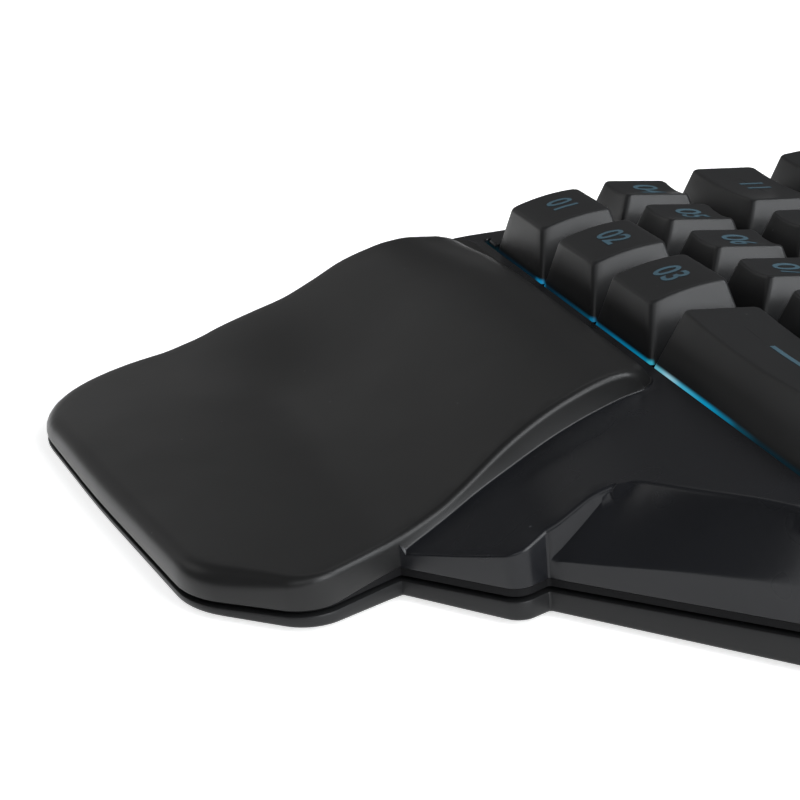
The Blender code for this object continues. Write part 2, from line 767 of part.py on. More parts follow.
def make_bottom_cover(shop, material):
    corners = case_corners()
    block = column("tray", rounded(corners), case_bottom, level(TRAY_TOP))
    tray = shop.piece("bottom_cover", block, material)
    tongue_outline = rounded(inset(corners, TONGUE_INSET))
    tongue = column("tongue", tongue_outline, above_bottom(FIT_GAP), level(TONGUE_TOP))
    shop.change(tray, "UNION", tongue)
    pocket_outline = rounded(inset(corners, POCKET_INSET))
    pocket = column("tray_pocket", pocket_outline, above_bottom(CASE_FLOOR), level(TONGUE_TOP + OVERRUN))
    shop.change(tray, "DIFFERENCE", pocket)
    places = screw_places()
    post_room = pegs("post_room", places, POST_RADIUS + FIT_GAP, TRAY_TOP, TONGUE_TOP + OVERRUN)
    shop.change(tray, "DIFFERENCE", post_room)
    inner = above_bottom(CASE_FLOOR / 2)
    bosses = pegs("screw_bosses", places, HEAD_RECESS_RADIUS + BOSS_WALL, inner, TRAY_TOP)
    shop.change(tray, "UNION", bosses)
    support_places = [back_point(shares) for shares in SUPPORT_SHARES]
    supports = pegs("sheet_supports", support_places, SUPPORT_RADIUS, inner, BACKING_BOTTOM - FIT_GAP)
    shop.change(tray, "UNION", supports)
    standoffs = pegs("standoffs", board_standoffs(), STANDOFF_RADIUS, inner, board_bottom() - FIT_GAP)
    shop.change(tray, "UNION", standoffs)
    below = above_bottom(-OVERRUN)
    recesses = pegs("head_recesses", places, HEAD_RECESS_RADIUS, below, SCREW_SEAT)
    shop.change(tray, "DIFFERENCE", recesses)
    holes = pegs("screw_holes", places, SCREW_HOLE_RADIUS, below, TRAY_TOP + OVERRUN)
    shop.change(tray, "DIFFERENCE", holes)
    for number, place in enumerate(foot_places(), 1):
        outline = foot_outline(place, FIT_GAP)
        pocket = column(f"foot_pocket_{number}", outline, below, above_bottom(FOOT_SINK))
        shop.change(tray, "DIFFERENCE", pocket)
    shop.change(tray, "DIFFERENCE", gland_hole())


def make_feet(shop, material):
    for number, place in enumerate(foot_places(), 1):
        low, high = above_bottom(-FOOT_PROUD), above_bottom(FOOT_SINK - FIT_GAP)
        shop.piece(f"rubber_foot_{number}", column("foot", foot_outline(place, 0), low, high), material)


def make_screws(shop, material):
    profile = [
        (0, SCREW_LENGTH), (SCREW_RADIUS / 2, SCREW_LENGTH), (SCREW_RADIUS, SCREW_LENGTH - SCREW_RADIUS),
        (SCREW_RADIUS, 0), (SCREW_HEAD_RADIUS, 0), (SCREW_HEAD_RADIUS, -SCREW_HEAD),
        (DRIVE_RADIUS, -SCREW_HEAD), (DRIVE_RADIUS, -SCREW_HEAD + DRIVE_DEPTH),
        (0, -SCREW_HEAD + DRIVE_DEPTH),
    ]
    mesh = turned_mesh("screw", profile)
    for number, place in enumerate(screw_places(), 1):
        turn(shop.piece(f"case_screw_{number}", mesh, material, (*place, SCREW_SEAT - FIT_GAP)))


def make_cable_gland(shop, material):
    inner = -POCKET_INSET - FIT_GAP
    collar = FIT_GAP + GLAND_COLLAR
    profile = [
        (GLAND_BORE, collar + GLAND_BOOT), (GLAND_TIP_RADIUS, collar + GLAND_BOOT),
        (GLAND_RADIUS, collar), (GLAND_COLLAR_RADIUS, collar),
        (GLAND_COLLAR_RADIUS, FIT_GAP), (GLAND_RADIUS, FIT_GAP),
        (GLAND_RADIUS, inner), (GLAND_COLLAR_RADIUS, inner), (GLAND_COLLAR_RADIUS, inner - GLAND_COLLAR),
        (GLAND_BORE, inner - GLAND_COLLAR),
    ]
    gland = shop.piece("cable_gland", turned_mesh("cable_gland", profile), material, gland_place())
    gland.rotation_euler.x = -math.pi / 2
    turn(gland)


def make_controller_board(shop, material):
    centre = back_point(BOARD_SHARES)
    half = Vector((BOARD_LENGTH, BOARD_WIDTH)) / 2
    bottom = board_bottom()
    top = bottom + BOARD_THICKNESS
    sheet = boxes("controller_board", [((*(centre - half), bottom), (*(centre + half), top))])
    board = shop.piece("controller_board", sheet, material)
    reach = Vector((CHIP_SIDE, CHIP_SIDE)) / 2
    middles = [centre + Vector((share * half.x, 0)) for share in CHIP_SHARES]
    root = bottom + BOARD_THICKNESS / 2
    chips = [((*(middle - reach), root), (*(middle + reach), top + CHIP_HEIGHT)) for middle in middles]
    shop.change(board, "UNION", boxes("chips", chips))


# Keys

def key_cells():
    """Each key's name, plan centre, width, height shares and inset shares."""
    cells = []
    for row, (name, left, widths, heights, insets) in enumerate(ROW_SHARES):
        for number, width in enumerate(widths, 1):
            centre = Vector((left + width / 2, row + 0.5)) * KEY_PITCH
            cells.append((f"key_{name}_{number}", centre, width * KEY_PITCH, heights, insets))
            left += width
    left, width, heights, insets = THUMB_SHARES
    centre = Vector((left + width / 2, 0.5)) * KEY_PITCH
    cells.append(("thumb_key", centre, width * KEY_PITCH, heights, insets))
    return cells


def stem_places(name, centre, width):
    """A key's plunger is in its middle, and the thumb key has a guide on each side of it."""
    if name != "thumb_key":
        return [centre]
    aside = Vector((width * THUMB_GUIDE_SHARE, 0))
    return [centre - aside, centre, centre + aside]


def square_boxes(name, places, side, bottom, top):
    half = Vector((side, side)) / 2
    return boxes(name, [((*(place - half), bottom), (*(place + half), top)) for place in places])


def cap_chain(bm, half_width, y, spans, height):
    """Points along the front or the back of a cap, from left to right, with its two corners cut."""
    inner = half_width - CAP_CORNER
    across = [inner * (2 * step / spans - 1) for step in range(spans + 1)]
    cut = y - math.copysign(CAP_CORNER, y)
    places = [(-half_width, cut), *((x, y) for x in across), (half_width, cut)]
    return [bm.verts.new((*place, height(*place))) for place in places]


def cap_mesh(name, width, heights, insets):
    """A keycap: a hollow tapered cap with its top dished across, or crowned from front to back."""
    is_thumb = name == "thumb_key"
    is_crowned = name.startswith("key_front")
    dish = THUMB_DISH if is_thumb else 0 if is_crowned else CAP_DISH
    spans = THUMB_SPANS if is_thumb else CAP_SPANS
    half_depth = KEY_PITCH / 2 - CAP_SKIRT_INSET
    half_skirt = width / 2 - CAP_SKIRT_INSET
    half_top = width / 2 - CAP_INSET
    front = -KEY_PITCH / 2 + insets[0] * CAP_INSET
    back = KEY_PITCH / 2 - insets[1] * CAP_INSET
    front_height, back_height = (share * CAP_HEIGHT for share in heights)

    def slope(y):
        return front_height + (back_height - front_height) * (y - front) / (back - front)

    def top(x, y):
        return slope(y) - dish * (1 - (x / half_top) ** 2)

    def ceiling(x, y):
        return slope(y) - dish - CAP_WALL

    bm = bmesh.new()

    def ring(half_width, y_front, y_back, height):
        return [cap_chain(bm, half_width, y, spans, height) for y in (y_front, y_back)]

    def bridge(first, second):
        loops = [near + far[::-1] for near, far in (first, second)]
        for i in range(len(loops[0])):
            bm.faces.new((loops[0][i - 1], loops[0][i], loops[1][i], loops[1][i - 1]))

    skirt = level(-CAP_SKIRT_DEPTH)
    shrink = CAP_WALL * CAP_CEILING_SHARE
    outer_foot = ring(half_skirt, -half_depth, half_depth, skirt)
    outer_top = ring(half_top, front, back, top)
    inner_foot = ring(half_skirt - CAP_WALL, CAP_WALL - half_depth, half_depth - CAP_WALL, skirt)
    inner_top = ring(half_top - shrink, front + shrink, back - shrink, ceiling)
    bridge(outer_foot, outer_top)
    bridge(outer_foot, inner_foot)
    bridge(inner_foot, inner_top)
    bm.faces.new(inner_top[0] + inner_top[1][::-1])

    near, far = outer_top
    rows = [near[1:-1]]
    for step in range(1, CROWN_ROWS if is_crowned else 1):
        share = step / CROWN_ROWS
        rise = Vector((0, 0, 4 * share * (1 - share) * CAP_CROWN))
        pairs = zip(near[1:-1], far[1:-1])
        rows.append([bm.verts.new(start.co.lerp(end.co, share) + rise) for start, end in pairs])
    rows.append(far[1:-1])
    for before, after in zip(rows, rows[1:]):
        for i in range(len(before) - 1):
            bm.faces.new((before[i], before[i + 1], after[i + 1], after[i]))
    bm.faces.new([near[0], *(row[0] for row in rows), far[0]])
    bm.faces.new([near[-1], *(row[-1] for row in rows), far[-1]])
    return mesh_from(bm, name)


def make_keys(shop, material):
    for name, centre, width, heights, insets in key_cells():
        cap = shop.piece(name, cap_mesh(name, width, heights, insets), material, (*centre, 0))
        dish = THUMB_DISH if name == "thumb_key" else CAP_DISH
        root = CAP_HEIGHT * sum(heights) / 2 - dish - CAP_WALL / 2
        places = stem_places(name, Vector((0, 0)), width)
        stems = square_boxes(f"stem_of_{name}", places, STEM_SIDE, PLATE_BOTTOM, root)
        shop.change(cap, "UNION", stems, (*centre, 0))


# Key plate and the sheets under it

def make_key_plate(shop, material):
    keys = [(name, centre, width) for name, centre, width, _, _ in key_cells()]
    stems = [place for key in keys for place in stem_places(*key)]
    sheet = opening_box("key_plate", SKIRT_WALL, PLATE_BOTTOM, PLATE_TOP)
    plate = shop.piece("key_plate", sheet, material)
    hole = STEM_SIDE + 2 * FIT_GAP
    sleeve = hole + 2 * SLEEVE_WALL
    middle = (PLATE_TOP + PLATE_BOTTOM) / 2
    sleeve_top = PLATE_TOP + SLEEVE_RISE
    shop.change(plate, "UNION", square_boxes("sleeves", stems, sleeve, middle, sleeve_top))
    holes = square_boxes("stem_holes", stems, hole, PLATE_BOTTOM - OVERRUN, sleeve_top + OVERRUN)
    shop.change(plate, "DIFFERENCE", holes)


def make_dome_sheet(shop, material):
    centres = [centre for _, centre, _, _, _ in key_cells()]
    bottom = SHEET_TOP - DOME_SHEET
    middle = bottom + DOME_SHEET / 2
    sheet = shop.piece("dome_sheet", opening_box("dome_sheet", SKIRT_WALL, bottom, SHEET_TOP), material)
    domes = pegs("domes", centres, DOME_RADIUS, middle, DOME_TOP, DOME_TOP_RADIUS, DOME_SIDES)
    shop.change(sheet, "UNION", domes)
    hollows = pegs(
        "dome_hollows", centres, DOME_RADIUS - DOME_SKIN, bottom - DOME_SHEET / 2, DOME_TOP - DOME_SKIN,
        DOME_TOP_RADIUS - DOME_SKIN, DOME_SIDES,
    )
    shop.change(sheet, "DIFFERENCE", hollows)


def make_flat_sheets(shop, membrane, guide, backing):
    sheets = (
        ("membrane_sheet", MEMBRANE_TOP, MEMBRANE, membrane),
        ("light_guide", LIGHT_GUIDE_TOP, LIGHT_GUIDE, guide),
        ("backing_plate", BACKING_TOP, BACKING_PLATE, backing),
    )
    for name, top, thickness, material in sheets:
        shop.piece(name, opening_box(name, SKIRT_WALL, top - thickness, top), material)


def main():
    shop = Workshop()
    make_top_cover(shop, finish_of("top_cover_plastic", (0.012, 0.012, 0.014), 0.42))
    make_bottom_cover(shop, finish_of("bottom_cover_plastic", (0.011, 0.011, 0.012), 0.48))
    make_keys(shop, finish_of("keycap_plastic", (0.016, 0.016, 0.018), 0.45))
    make_key_plate(shop, finish_of("key_plate_plastic", (0.02, 0.05, 0.06), 0.5))
    make_dome_sheet(shop, finish_of("dome_silicone", (0.55, 0.6, 0.6), 0.5))
    membrane = finish_of("membrane_film", (0.5, 0.52, 0.5), 0.35)
    guide = finish_of("light_guide_acrylic", (0.1, 0.6, 0.7), 0.15)
    make_flat_sheets(shop, membrane, guide, finish_of("backing_steel", (0.5, 0.5, 0.5), 0.35, 1))
    make_controller_board(shop, finish_of("board_laminate", (0.02, 0.12, 0.05), 0.4))
    make_cable_gland(shop, finish_of("gland_rubber", (0.01, 0.01, 0.01), 0.7))
    make_feet(shop, finish_of("foot_rubber", (0.012, 0.012, 0.012), 0.8))
    make_screws(shop, finish_of("screw_steel", (0.3, 0.3, 0.31), 0.35, 1))
    shop.stand_on_desk()


main()
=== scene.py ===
"""Looks of the one-handed keypad: fine shells, keycaps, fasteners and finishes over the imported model.

Shapes are made in the deck's own frame, in millimetres: x to the user's right, y away from the user, z
square to the deck, with zero at the front edge of the keys and the left end of the front row. One matrix
lays them on the desk, in metres.
"""

import math
from functools import partial

import bmesh
import bpy
import numpy as np
from mathutils import Matrix, Vector
from mathutils.geometry import delaunay_2d_cdt


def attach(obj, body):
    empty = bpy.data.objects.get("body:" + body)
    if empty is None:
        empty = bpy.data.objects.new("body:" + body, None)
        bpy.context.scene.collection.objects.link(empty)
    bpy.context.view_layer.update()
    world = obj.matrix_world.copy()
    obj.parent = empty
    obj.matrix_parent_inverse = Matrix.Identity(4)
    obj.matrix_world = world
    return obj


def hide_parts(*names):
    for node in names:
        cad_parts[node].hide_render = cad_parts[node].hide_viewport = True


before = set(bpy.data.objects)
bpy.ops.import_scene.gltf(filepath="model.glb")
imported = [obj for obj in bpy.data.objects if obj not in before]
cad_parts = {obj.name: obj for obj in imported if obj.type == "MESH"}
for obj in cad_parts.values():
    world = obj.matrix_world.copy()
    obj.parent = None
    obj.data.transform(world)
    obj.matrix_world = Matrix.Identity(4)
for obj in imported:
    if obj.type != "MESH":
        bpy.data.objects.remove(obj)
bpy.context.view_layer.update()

MM = 0.001

# The deck's place over the desk, its tilt, and the way from its millimetres to metres on the desk
TYPING_ANGLE = math.radians(2.46)
DECK_PLACE = Vector((-0.068512, -0.021808, 0.023221))
TO_DESK = Matrix.Translation(DECK_PLACE) @ Matrix.Rotation(TYPING_ANGLE, 4, "X") @ Matrix.Scale(MM, 4)

# Camera
CAMERA_PLACE = (0.292417, -0.151019, 0.134395)
CAMERA_TURN = (71.1817, 2.0743, 72.2655)
CAMERA_LENS = 94.81
CAMERA_SHIFT = (-0.00274, -0.06825)

# Lamps: name, angles round the object and above the desk, distance, size, watts and colour
COOL, COOLER, WHITE = (0.97, 0.985, 1), (0.94, 0.97, 1), (1, 1, 1)
LAMPS = (
    ("right_softbox", 22, 41, 1.1, (0.5, 0.7), 6.5, COOL),
    ("low_right_softbox", 24, 18, 1.1, (0.9, 0.36), 6, COOLER),
    ("edge_softbox", 66, 34, 1.1, (0.34, 0.9), 8.5, COOLER),
    ("front_right_softbox", -38, 38, 1.25, (0.8, 0.6), 2.6, COOL),
    ("left_softbox", 205, 20, 1.15, (1.2, 0.6), 0.65, WHITE),
    ("back_softbox", 160, 52, 1.15, (0.7, 0.35), 0.5, WHITE),
    ("front_left_softbox", 236, 32, 1.2, (0.5, 0.4), 0.7, WHITE),
)
WORLD_STRENGTH = 0.1
FLOOR_REACH = 60
FLOOR_COLOUR = (0.85, 0.85, 0.85, 1)
FLOOR_GLOW = 0.7

# Case, in millimetres: heights, walls and the gap of the seam
SEAM_TOP = -16.85
SEAM_BOTTOM = -17.55
CASE_WALL = 2.2
DECK_HEIGHT = 22.24
FLOOR_SLOPE = math.tan(TYPING_ANGLE)
LIP_ROUND = 0.3
LIP_STEP = 0.25
LIP_HEIGHT = 1.3
PALM_LIP = 0.18
LIP_SPAN = (-64, -50)
TRAY_ROUND = 0.6
WING_ROUND = 0.55
PANEL_ROUND = 0.2
RAMP_ROUND = 0.35
RIDGE_ROUND = 0.7
PALM_ROUND = 1.15
SKIRT_BOTTOM = -4.8
SKIRT_WALL = 0.9
OPENING_ROUND = 0.45
WALL_LEAN = 0.22
FOOT_ROUND = 0.35

# How much softer the palm rest's edge is in front, at its back and at the left, and the spans it takes
FRONT_SOFTER, FRONT_SPAN = 1.8, (-76, -62)
BACK_SOFTER, BACK_SPAN = 2.6, (-9, -4)
LEFT_SOFTER, LEFT_SPAN = 1.6, (-6, 14)
PALM_BLEND = 0.5

# Plan of the case, in millimetres, as (x, y, corner radius), anticlockwise
PALM_CORNERS = (
    (-9, -91.4, 23), (45, -85.9, 400), (87.6, -80, 14), (100.9, -64.9, 7.5), (94.2, -49.8, 40),
    (88, -28, 40), (83.3, -8, 40), (82, -3, 5), (-9, -3, 7),
)
WING_CORNERS = (
    (109.3, -36.9, 3.5), (107.2, -31.8, 0.4), (146, 2.7, 12), (146, 61.7, 14), (138, 123.3, 9), (-9, 123.3, 9),
)
NOTCH = (94.2, -49.8)
PALM_START = (-9, -10.2)
KEY_FIELD = ((-4.7625, 0), (128.5875, 114.3))
OPENING_GAP = 0.3
SLOT_END = ((-3.6, 0.5), (-4.6, 1.3), (-5.06, 0.9), (-4.9, 0.3), (-4.2, -0.15), (-3.4, -0.3))

# Palm rest: heights along y at its middle and at its left edge
PALM_PROFILE = (
    (-92, -12.4), (-75, -11.9), (-63, -11.5), (-52.8, -11), (-49.2, -10.5), (-45.8, -9.6), (-42.3, -8.4),
    (-38.7, -6.6), (-35, -4.5), (-31.4, -2.5), (-27.7, -0.75), (-24, 0.75), (-20.5, 1.9), (-17, 2.8),
    (-14, 3.4), (-11, 3.7), (-7, 3.4), (-3, 3),
)
PALM_EDGE_PROFILE = (
    (-92, -14.2), (-75, -13.2), (-64, -12.1), (-60, -11.2), (-56, -10.1), (-53, -9), (-46, -7), (-40, -5.4),
    (-34, -2.9), (-27.7, 0), (-22, 1.6), (-19.5, 2.1), (-15.4, 2.4), (-12.5, 2.1), (-9.5, 1.7), (-3, 1.2),
)
PALM_EDGE_REACH = 42

# Ramp beside the palm rest, its ridge, and the side panel
RAMP_PROFILE = (
    (-60, -16.3), (-49.6, -13.1), (-42.7, -10.6), (-35.5, -7.6), (-28.3, -5.1), (-21.1, -2.7), (-13.8, -1),
    (-7.9, -0.2), (0, 0), (20, 0),
)
RAMP_TWIST = 0.1
RAMP_TWIST_SPAN = (-33, -24)
RIDGE = ((107.2, -31.8), (107.55, -29.8), (107.75, -26.8), (107.85, -23.8), (108.2, -21.2))
CREASE = (
    (108.2, -21.2), (109.9, -18.9), (113, -17.1), (116, -15.5), (118.8, -13.9), (124.2, -10.6), (129.2, -7.2),
    (133.5, -4.9), (139.5, -3.1),
)
CREASE_ROUND = 1.4
CREASE_BLEND = 0.02
CREASE_SPAN = (108.2, 138)
RIDGE_SPAN = (-38, -34.5)
RIM_SPAN = (-3, 6)
RIM_FROM = -20
PANEL_FOOT = (RIDGE[0], (146, 2.7))
PANEL_CLEAR = 0.03
PANEL_EDGE = (
    (107.2, -12.65), (113.3, -12), (122.3, -10.9), (128.8, -10.4), (135.1, -9.8), (140, -6.5), (146, -0.6),
)

# Bottom cover, feet and screws, in millimetres
TRAY_FLOOR = 2.0
TONGUE_FROM = 2.8
TONGUE_WIDTH = 0.6
TONGUE_TOP = -15.95
PAD_SIZE = (16, 8)
PAD_CORNER = 3.2
PAD_GAP = 0.3
PAD_SINK = 0.6
PAD_PROUD = 1.0
PAD_PLACES = ((17.4, -75.4), (68.5, -73.6), (93.3, -18.4), (6.5, 106), (122.8, 106), (125.9, 37))
SCREW_RECESS = 2.7
SCREW_SEAT = -18.35
SCREW_SIZES = {"Head Radius": 2.4, "Head Height": 1.0, "Shank Radius": 1.1, "Length": 5.0}
SCREW_PLACES = (
    (4.2, -20.2), (6.5, -59.8), (80.1, -59.8), (98, -27.6),
    (135.9, 12.3), (137, 66.6), (122, 118.6), (4.2, 118.6),
)
SCREW_HOLE = 1.4
BOSS_RADIUS = 4.1
POST_ROOM = 3.1
GLAND_PLACE = (60.77, 123.3, -21.45)
GLAND_HOLE = 3.0
GLAND_PROFILE = (
    (1.7, 7.5), (2.15, 7.5), (2.3, 7.35), (2.7, 1.5), (3.3, 1.5), (3.5, 1.3), (3.5, 0.5), (3.3, 0.3), (2.7, 0.3),
    (2.7, -4.6), (3.5, -4.6), (3.5, -5.8), (1.7, -5.8),
)
GLAND_RIBS = {"Ribs": 5, "First": 2.3, "Step": 1.05, "Radius": 2.55, "Bead": 0.28, "Taper": 0.028}
SQUARE = ((-1, -1), (1, -1), (1, 1), (-1, 1))

# Keycaps, in millimetres
KEY_PITCH = 19.05
CAP_HEIGHT = 9
CAP_INSET = 3.9
CAP_GAP = 0.5
CAP_FOOT = -1.2
CAP_WALL = 1.4
CAP_CORNER = 0.8
CAP_EDGE = 0.5
CAP_DISH = 0.7
CAP_CROWN = 0.6
THUMB_DISH = 1.4
CAP_ARC = 5
CAP_SIDE = (8, 12)
STEM_SIDE = 5
STEM_FOOT = -6.5
CAP_RINGS = (0, 0.05, 0.3, 0.6)
CAP_EDGE_STEPS = (0, 0.25, 0.5, 0.75, 1)
CAP_TOP_RINGS = (0.12, 0.28, 0.44, 0.6, 0.76, 0.9, 1)

# Light that leaks out at the outer keys' feet: colours along the front edge, by x, and round the sides
FRONT_GLOW = (
    (0, (0, 0.05, 0.075)), (1.2, (0, 0.006, 0.012)), (20, (0, 0.012, 0.024)), (22.6, (0.002, 0.2, 0.4)),
    (24.8, (0.002, 0.2, 0.4)), (26, (0, 0.012, 0.024)), (37, (0, 0.03, 0.06)), (45.4, (0, 0.05, 0.09)),
    (46.6, (0, 0.13, 0.26)), (48.6, (0, 0.13, 0.26)), (50, (0, 0.07, 0.14)), (60, (0, 0.13, 0.25)),
    (69, (0, 0.17, 0.3)), (70.6, (0.02, 0.34, 0.46)), (73.5, (0.1, 0.4, 0.5)), (78, (0.26, 0.5, 0.6)),
    (83, (0.04, 0.34, 0.5)), (91, (0, 0.24, 0.42)), (98, (0, 0.13, 0.23)), (102, (0, 0.045, 0.075)),
    (109, (0, 0.012, 0.02)), (128, (0, 0.008, 0.013)),
)
SIDE_GLOW = (0, 0.05, 0.09, 1)

LEGEND_SIZE = 6.6
LEGEND_RISE = 0.3
LEGEND_BOLD = 0.12
LEGEND_PROUD = 0.05
BAR_SIZE = (16, 0.9)

# Rows from the front: name, left end and key widths in pitches, shares of the cap's height and of its inset
KEY_ROWS = (
    ("front", 0, (1.25, 1.25, 1.25), (0.88, 1.08), (0.67, 0.76)),
    ("lower", -0.25, (1, 1, 1, 1, 1, 1, 1), (0.995, 0.785), (1.14, 0.54)),
    ("home", -0.25, (1.75, 1, 1, 1, 1, 1.25), (0.93, 0.762), (0.99, 0.59)),
    ("upper", -0.25, (1.5, 1, 1, 1, 1, 1.5), (0.93, 1.0), (0.9, 0.56)),
    ("number", -0.25, (1, 1, 1, 1, 1, 1, 1), (1.02, 1.17), (0.87, 0.62)),
    ("macro", -0.25, (1.4, 1.4, 1.4, 1.4, 1.4), (1.12, 1.3), (0.87, 0.68)),
)
THUMB_KEY = (3.75, 3, (0.99, 0.8), (1.19, 0.37))

# Fineness of the shells, in millimetres and degrees
LOOP_STEP = 1.1
GRID_STEP = 1.9
GRID_CLEAR = 0.75
ARC_STEP = math.radians(6)
ROUND_ANGLES = [math.radians(angle) for angle in (0, 15, 30, 45, 60, 75, 90)]
ROUND_SHARES = [1 - math.cos(angle) for angle in ROUND_ANGLES]
WELD, COVER_WELD = 0.004, 0.012
COVER_SHARP, CAP_SHARP, GROWN_SHARP = 42, 48, 35

# Lines that the top cover's mesh follows, and how far they stay clear of what is beside them
FOOT_SHARES = (0, 0.15, 0.45, 1)
CREASE_ASIDES = (-1.6, -1.1, -0.7, -0.35, 0.35, 0.7, 1.1, 1.6)
RIDGE_FOOT = 0.12
WING_ENDS, CREASE_ENDS = slice(6, -3), slice(2, -8)
CLEAR = {"foot": 0.05, "ramp": 1, "wing": 1.5, "wing_ramp": 1.1, "ridge": 0.25, "crease": 0.5, "mouth": 0.6}
CORE_STEP = 5
CEILING_REACH = 1.6
CEILING_SHARE = 0.8


# Curves and plan outlines, in millimetres

def smooth_curve(points):
    """A function that reads the smooth curve through the points, with no overshoot."""
    at, value = (np.array(column, float) for column in zip(*points))
    span = np.diff(at)
    slope = np.diff(value) / span
    same = slope[:-1] * slope[1:] > 0
    total = np.where(same, slope[:-1] + slope[1:], 1)
    middle = np.where(same, 2 * slope[:-1] * slope[1:] / total, 0)
    tangent = np.concatenate(([slope[0]], middle, [slope[-1]]))

    def read(x):
        x = np.clip(x, at[0], at[-1])
        i = np.clip(np.searchsorted(at, x, side="right") - 1, 0, len(span) - 1)
        t = (x - at[i]) / span[i]
        return (
            value[i] * (2 * t**3 - 3 * t**2 + 1) + tangent[i] * span[i] * (t**3 - 2 * t**2 + t)
            + value[i + 1] * (3 * t**2 - 2 * t**3) + tangent[i + 1] * span[i] * (t**3 - t**2)
        )

    return read


def eased(x, low, high):
    """0 below low, 1 above high, and smooth between them."""
    t = np.clip((x - low) / (high - low), 0, 1)
    return t * t * (3 - 2 * t)


def rounded(corners, closed=True):
    """The outline through corners of (x, y, radius), with an arc at each; an open one keeps its two ends."""
    outline = []
    count = len(corners)
    for index, (x, y, radius) in enumerate(corners):
        corner = Vector((x, y))
        if not closed and index in (0, count - 1):
            outline.append(corner)
            continue
        before = (corner - Vector(corners[index - 1][:2])).normalized()
        after = (Vector(corners[(index + 1) % count][:2]) - corner).normalized()
        turning = math.atan2(before.cross(after), before.dot(after))
        side = Vector((-before.y, before.x)) * math.copysign(radius, turning)
        centre = corner - before * radius * math.tan(abs(turning) / 2) + side
        steps = max(2, math.ceil(abs(turning) / ARC_STEP))
        for step in range(steps + 1):
            spoke = -side
            spoke.rotate(Matrix.Rotation(turning * step / steps, 2))
            outline.append(centre + spoke)
    return np.array([tuple(point) for point in outline])


def even(line, closed=True, step=LOOP_STEP):
    """The line with points added so that none are further apart than a step."""
    finer = []
    ends = np.roll(line, -1, axis=0) if closed else line[1:]
    for start, end in zip(line, ends):
        count = max(1, math.ceil(np.linalg.norm(end - start) / step))
        finer += [start + (end - start) * share / count for share in range(count)]
    if not closed:
        finer.append(line[-1])
    return np.array(finer)


def normals_of(line, closed=True):
    """Unit vectors to the left of the way the line runs."""
    if closed:
        way = np.roll(line, -1, axis=0) - np.roll(line, 1, axis=0)
    else:
        way = np.gradient(line, axis=0)
    left = np.stack((-way[:, 1], way[:, 0]), axis=1)
    return left / np.linalg.norm(left, axis=1, keepdims=True)


def moved_in(line, distance, closed=True):
    """The line moved to its left by a distance, which may differ from point to point."""
    distance = np.broadcast_to(distance, len(line))
    return line + normals_of(line, closed) * distance[:, None]


def distance_to(places, line, closed=True):
    """How far places in plan are from a line."""
    ends = np.roll(line, -1, axis=0) if closed else line[1:]
    starts = line if closed else line[:-1]
    way = ends - starts
    nearest = np.full(len(places), np.inf)
    for first in range(0, len(places), 2000):
        part = places[first:first + 2000]
        offset = part[:, None] - starts[None]
        share = np.clip((offset * way).sum(-1) / (way * way).sum(-1), 0, 1)
        gap = np.linalg.norm(offset - share[..., None] * way, axis=-1)
        nearest[first:first + 2000] = gap.min(1)
    return nearest


def inside(places, loop):
    """Which places in plan are inside a closed line."""
    crossings = np.zeros(len(places), int)
    for start, end in zip(loop, np.roll(loop, -1, axis=0)):
        if start[1] == end[1]:
            continue
        spans = (start[1] > places[:, 1]) != (end[1] > places[:, 1])
        reach = start[0] + (places[:, 1] - start[1]) * (end[0] - start[0]) / (end[1] - start[1])
        crossings += spans & (places[:, 0] < reach)
    return crossings % 2 == 1


def signed_distance(places, loop):
    return np.where(inside(places, loop), 1, -1) * distance_to(places, loop)


def dropped(distance, radius):
    """How far a rounded edge has fallen at a distance in from it."""
    left = np.maximum(radius - distance, 0)
    return radius - np.sqrt(np.maximum(radius**2 - left**2, 0))


def smooth_max(a, b, blend):
    h = np.clip(0.5 + 0.5 * (a - b) / blend, 0, 1)
    return b + (a - b) * h + blend * h * (1 - h)


def nearest_index(line, place):
    """Which of a line's points is nearest to a place in plan."""
    return int(np.argmin(np.linalg.norm(line - place, axis=1)))


def begun_at(line, place):
    """A closed line, begun at its point nearest to a place in plan."""
    return np.roll(line, -nearest_index(line, place), axis=0)


# Outline of the case, and the top surface over it

PALM = even(rounded(PALM_CORNERS))


def case_outline():
    """The palm rest's own outline as far as the notch, and the wing and the back from there on."""
    line = begun_at(PALM, PALM_START)
    stop = nearest_index(line, NOTCH)
    wing = rounded([(*line[stop], 0), *WING_CORNERS, (*line[0], 0)], closed=False)
    return np.concatenate((line[:stop], even(wing, closed=False)[:-1])), stop


OUTLINE, NOTCH_INDEX = case_outline()
WING_LINE = OUTLINE[NOTCH_INDEX:]
RIDGE_LINE = even(np.array(RIDGE, float), closed=False, step=0.5)
CREASE_LINE = even(np.array(CREASE, float), closed=False)
CREASE_LINE = np.column_stack((CREASE_LINE[:, 0], smooth_curve(CREASE)(CREASE_LINE[:, 0])))

# The ramp's free edge: along the front of the notch, round the step, and up the ridge
RAMP_EDGE = np.concatenate((WING_LINE[:nearest_index(WING_LINE, RIDGE[0])], RIDGE_LINE))

palm_middle = smooth_curve(PALM_PROFILE)
palm_left = smooth_curve(PALM_EDGE_PROFILE)
ramp_profile = smooth_curve(RAMP_PROFILE)
panel_edge = smooth_curve(PANEL_EDGE)
crease_at = smooth_curve(CREASE)


def wall_x(y):
    """The palm rest's right wall, seen in plan."""
    wall = np.array(PALM_CORNERS[4:8])
    return np.interp(y, wall[:, 1], wall[:, 0])


def palm_surface(x, y):
    share = eased(x, -9, -9 + PALM_EDGE_REACH)
    return palm_left(y) + (palm_middle(y) - palm_left(y)) * share


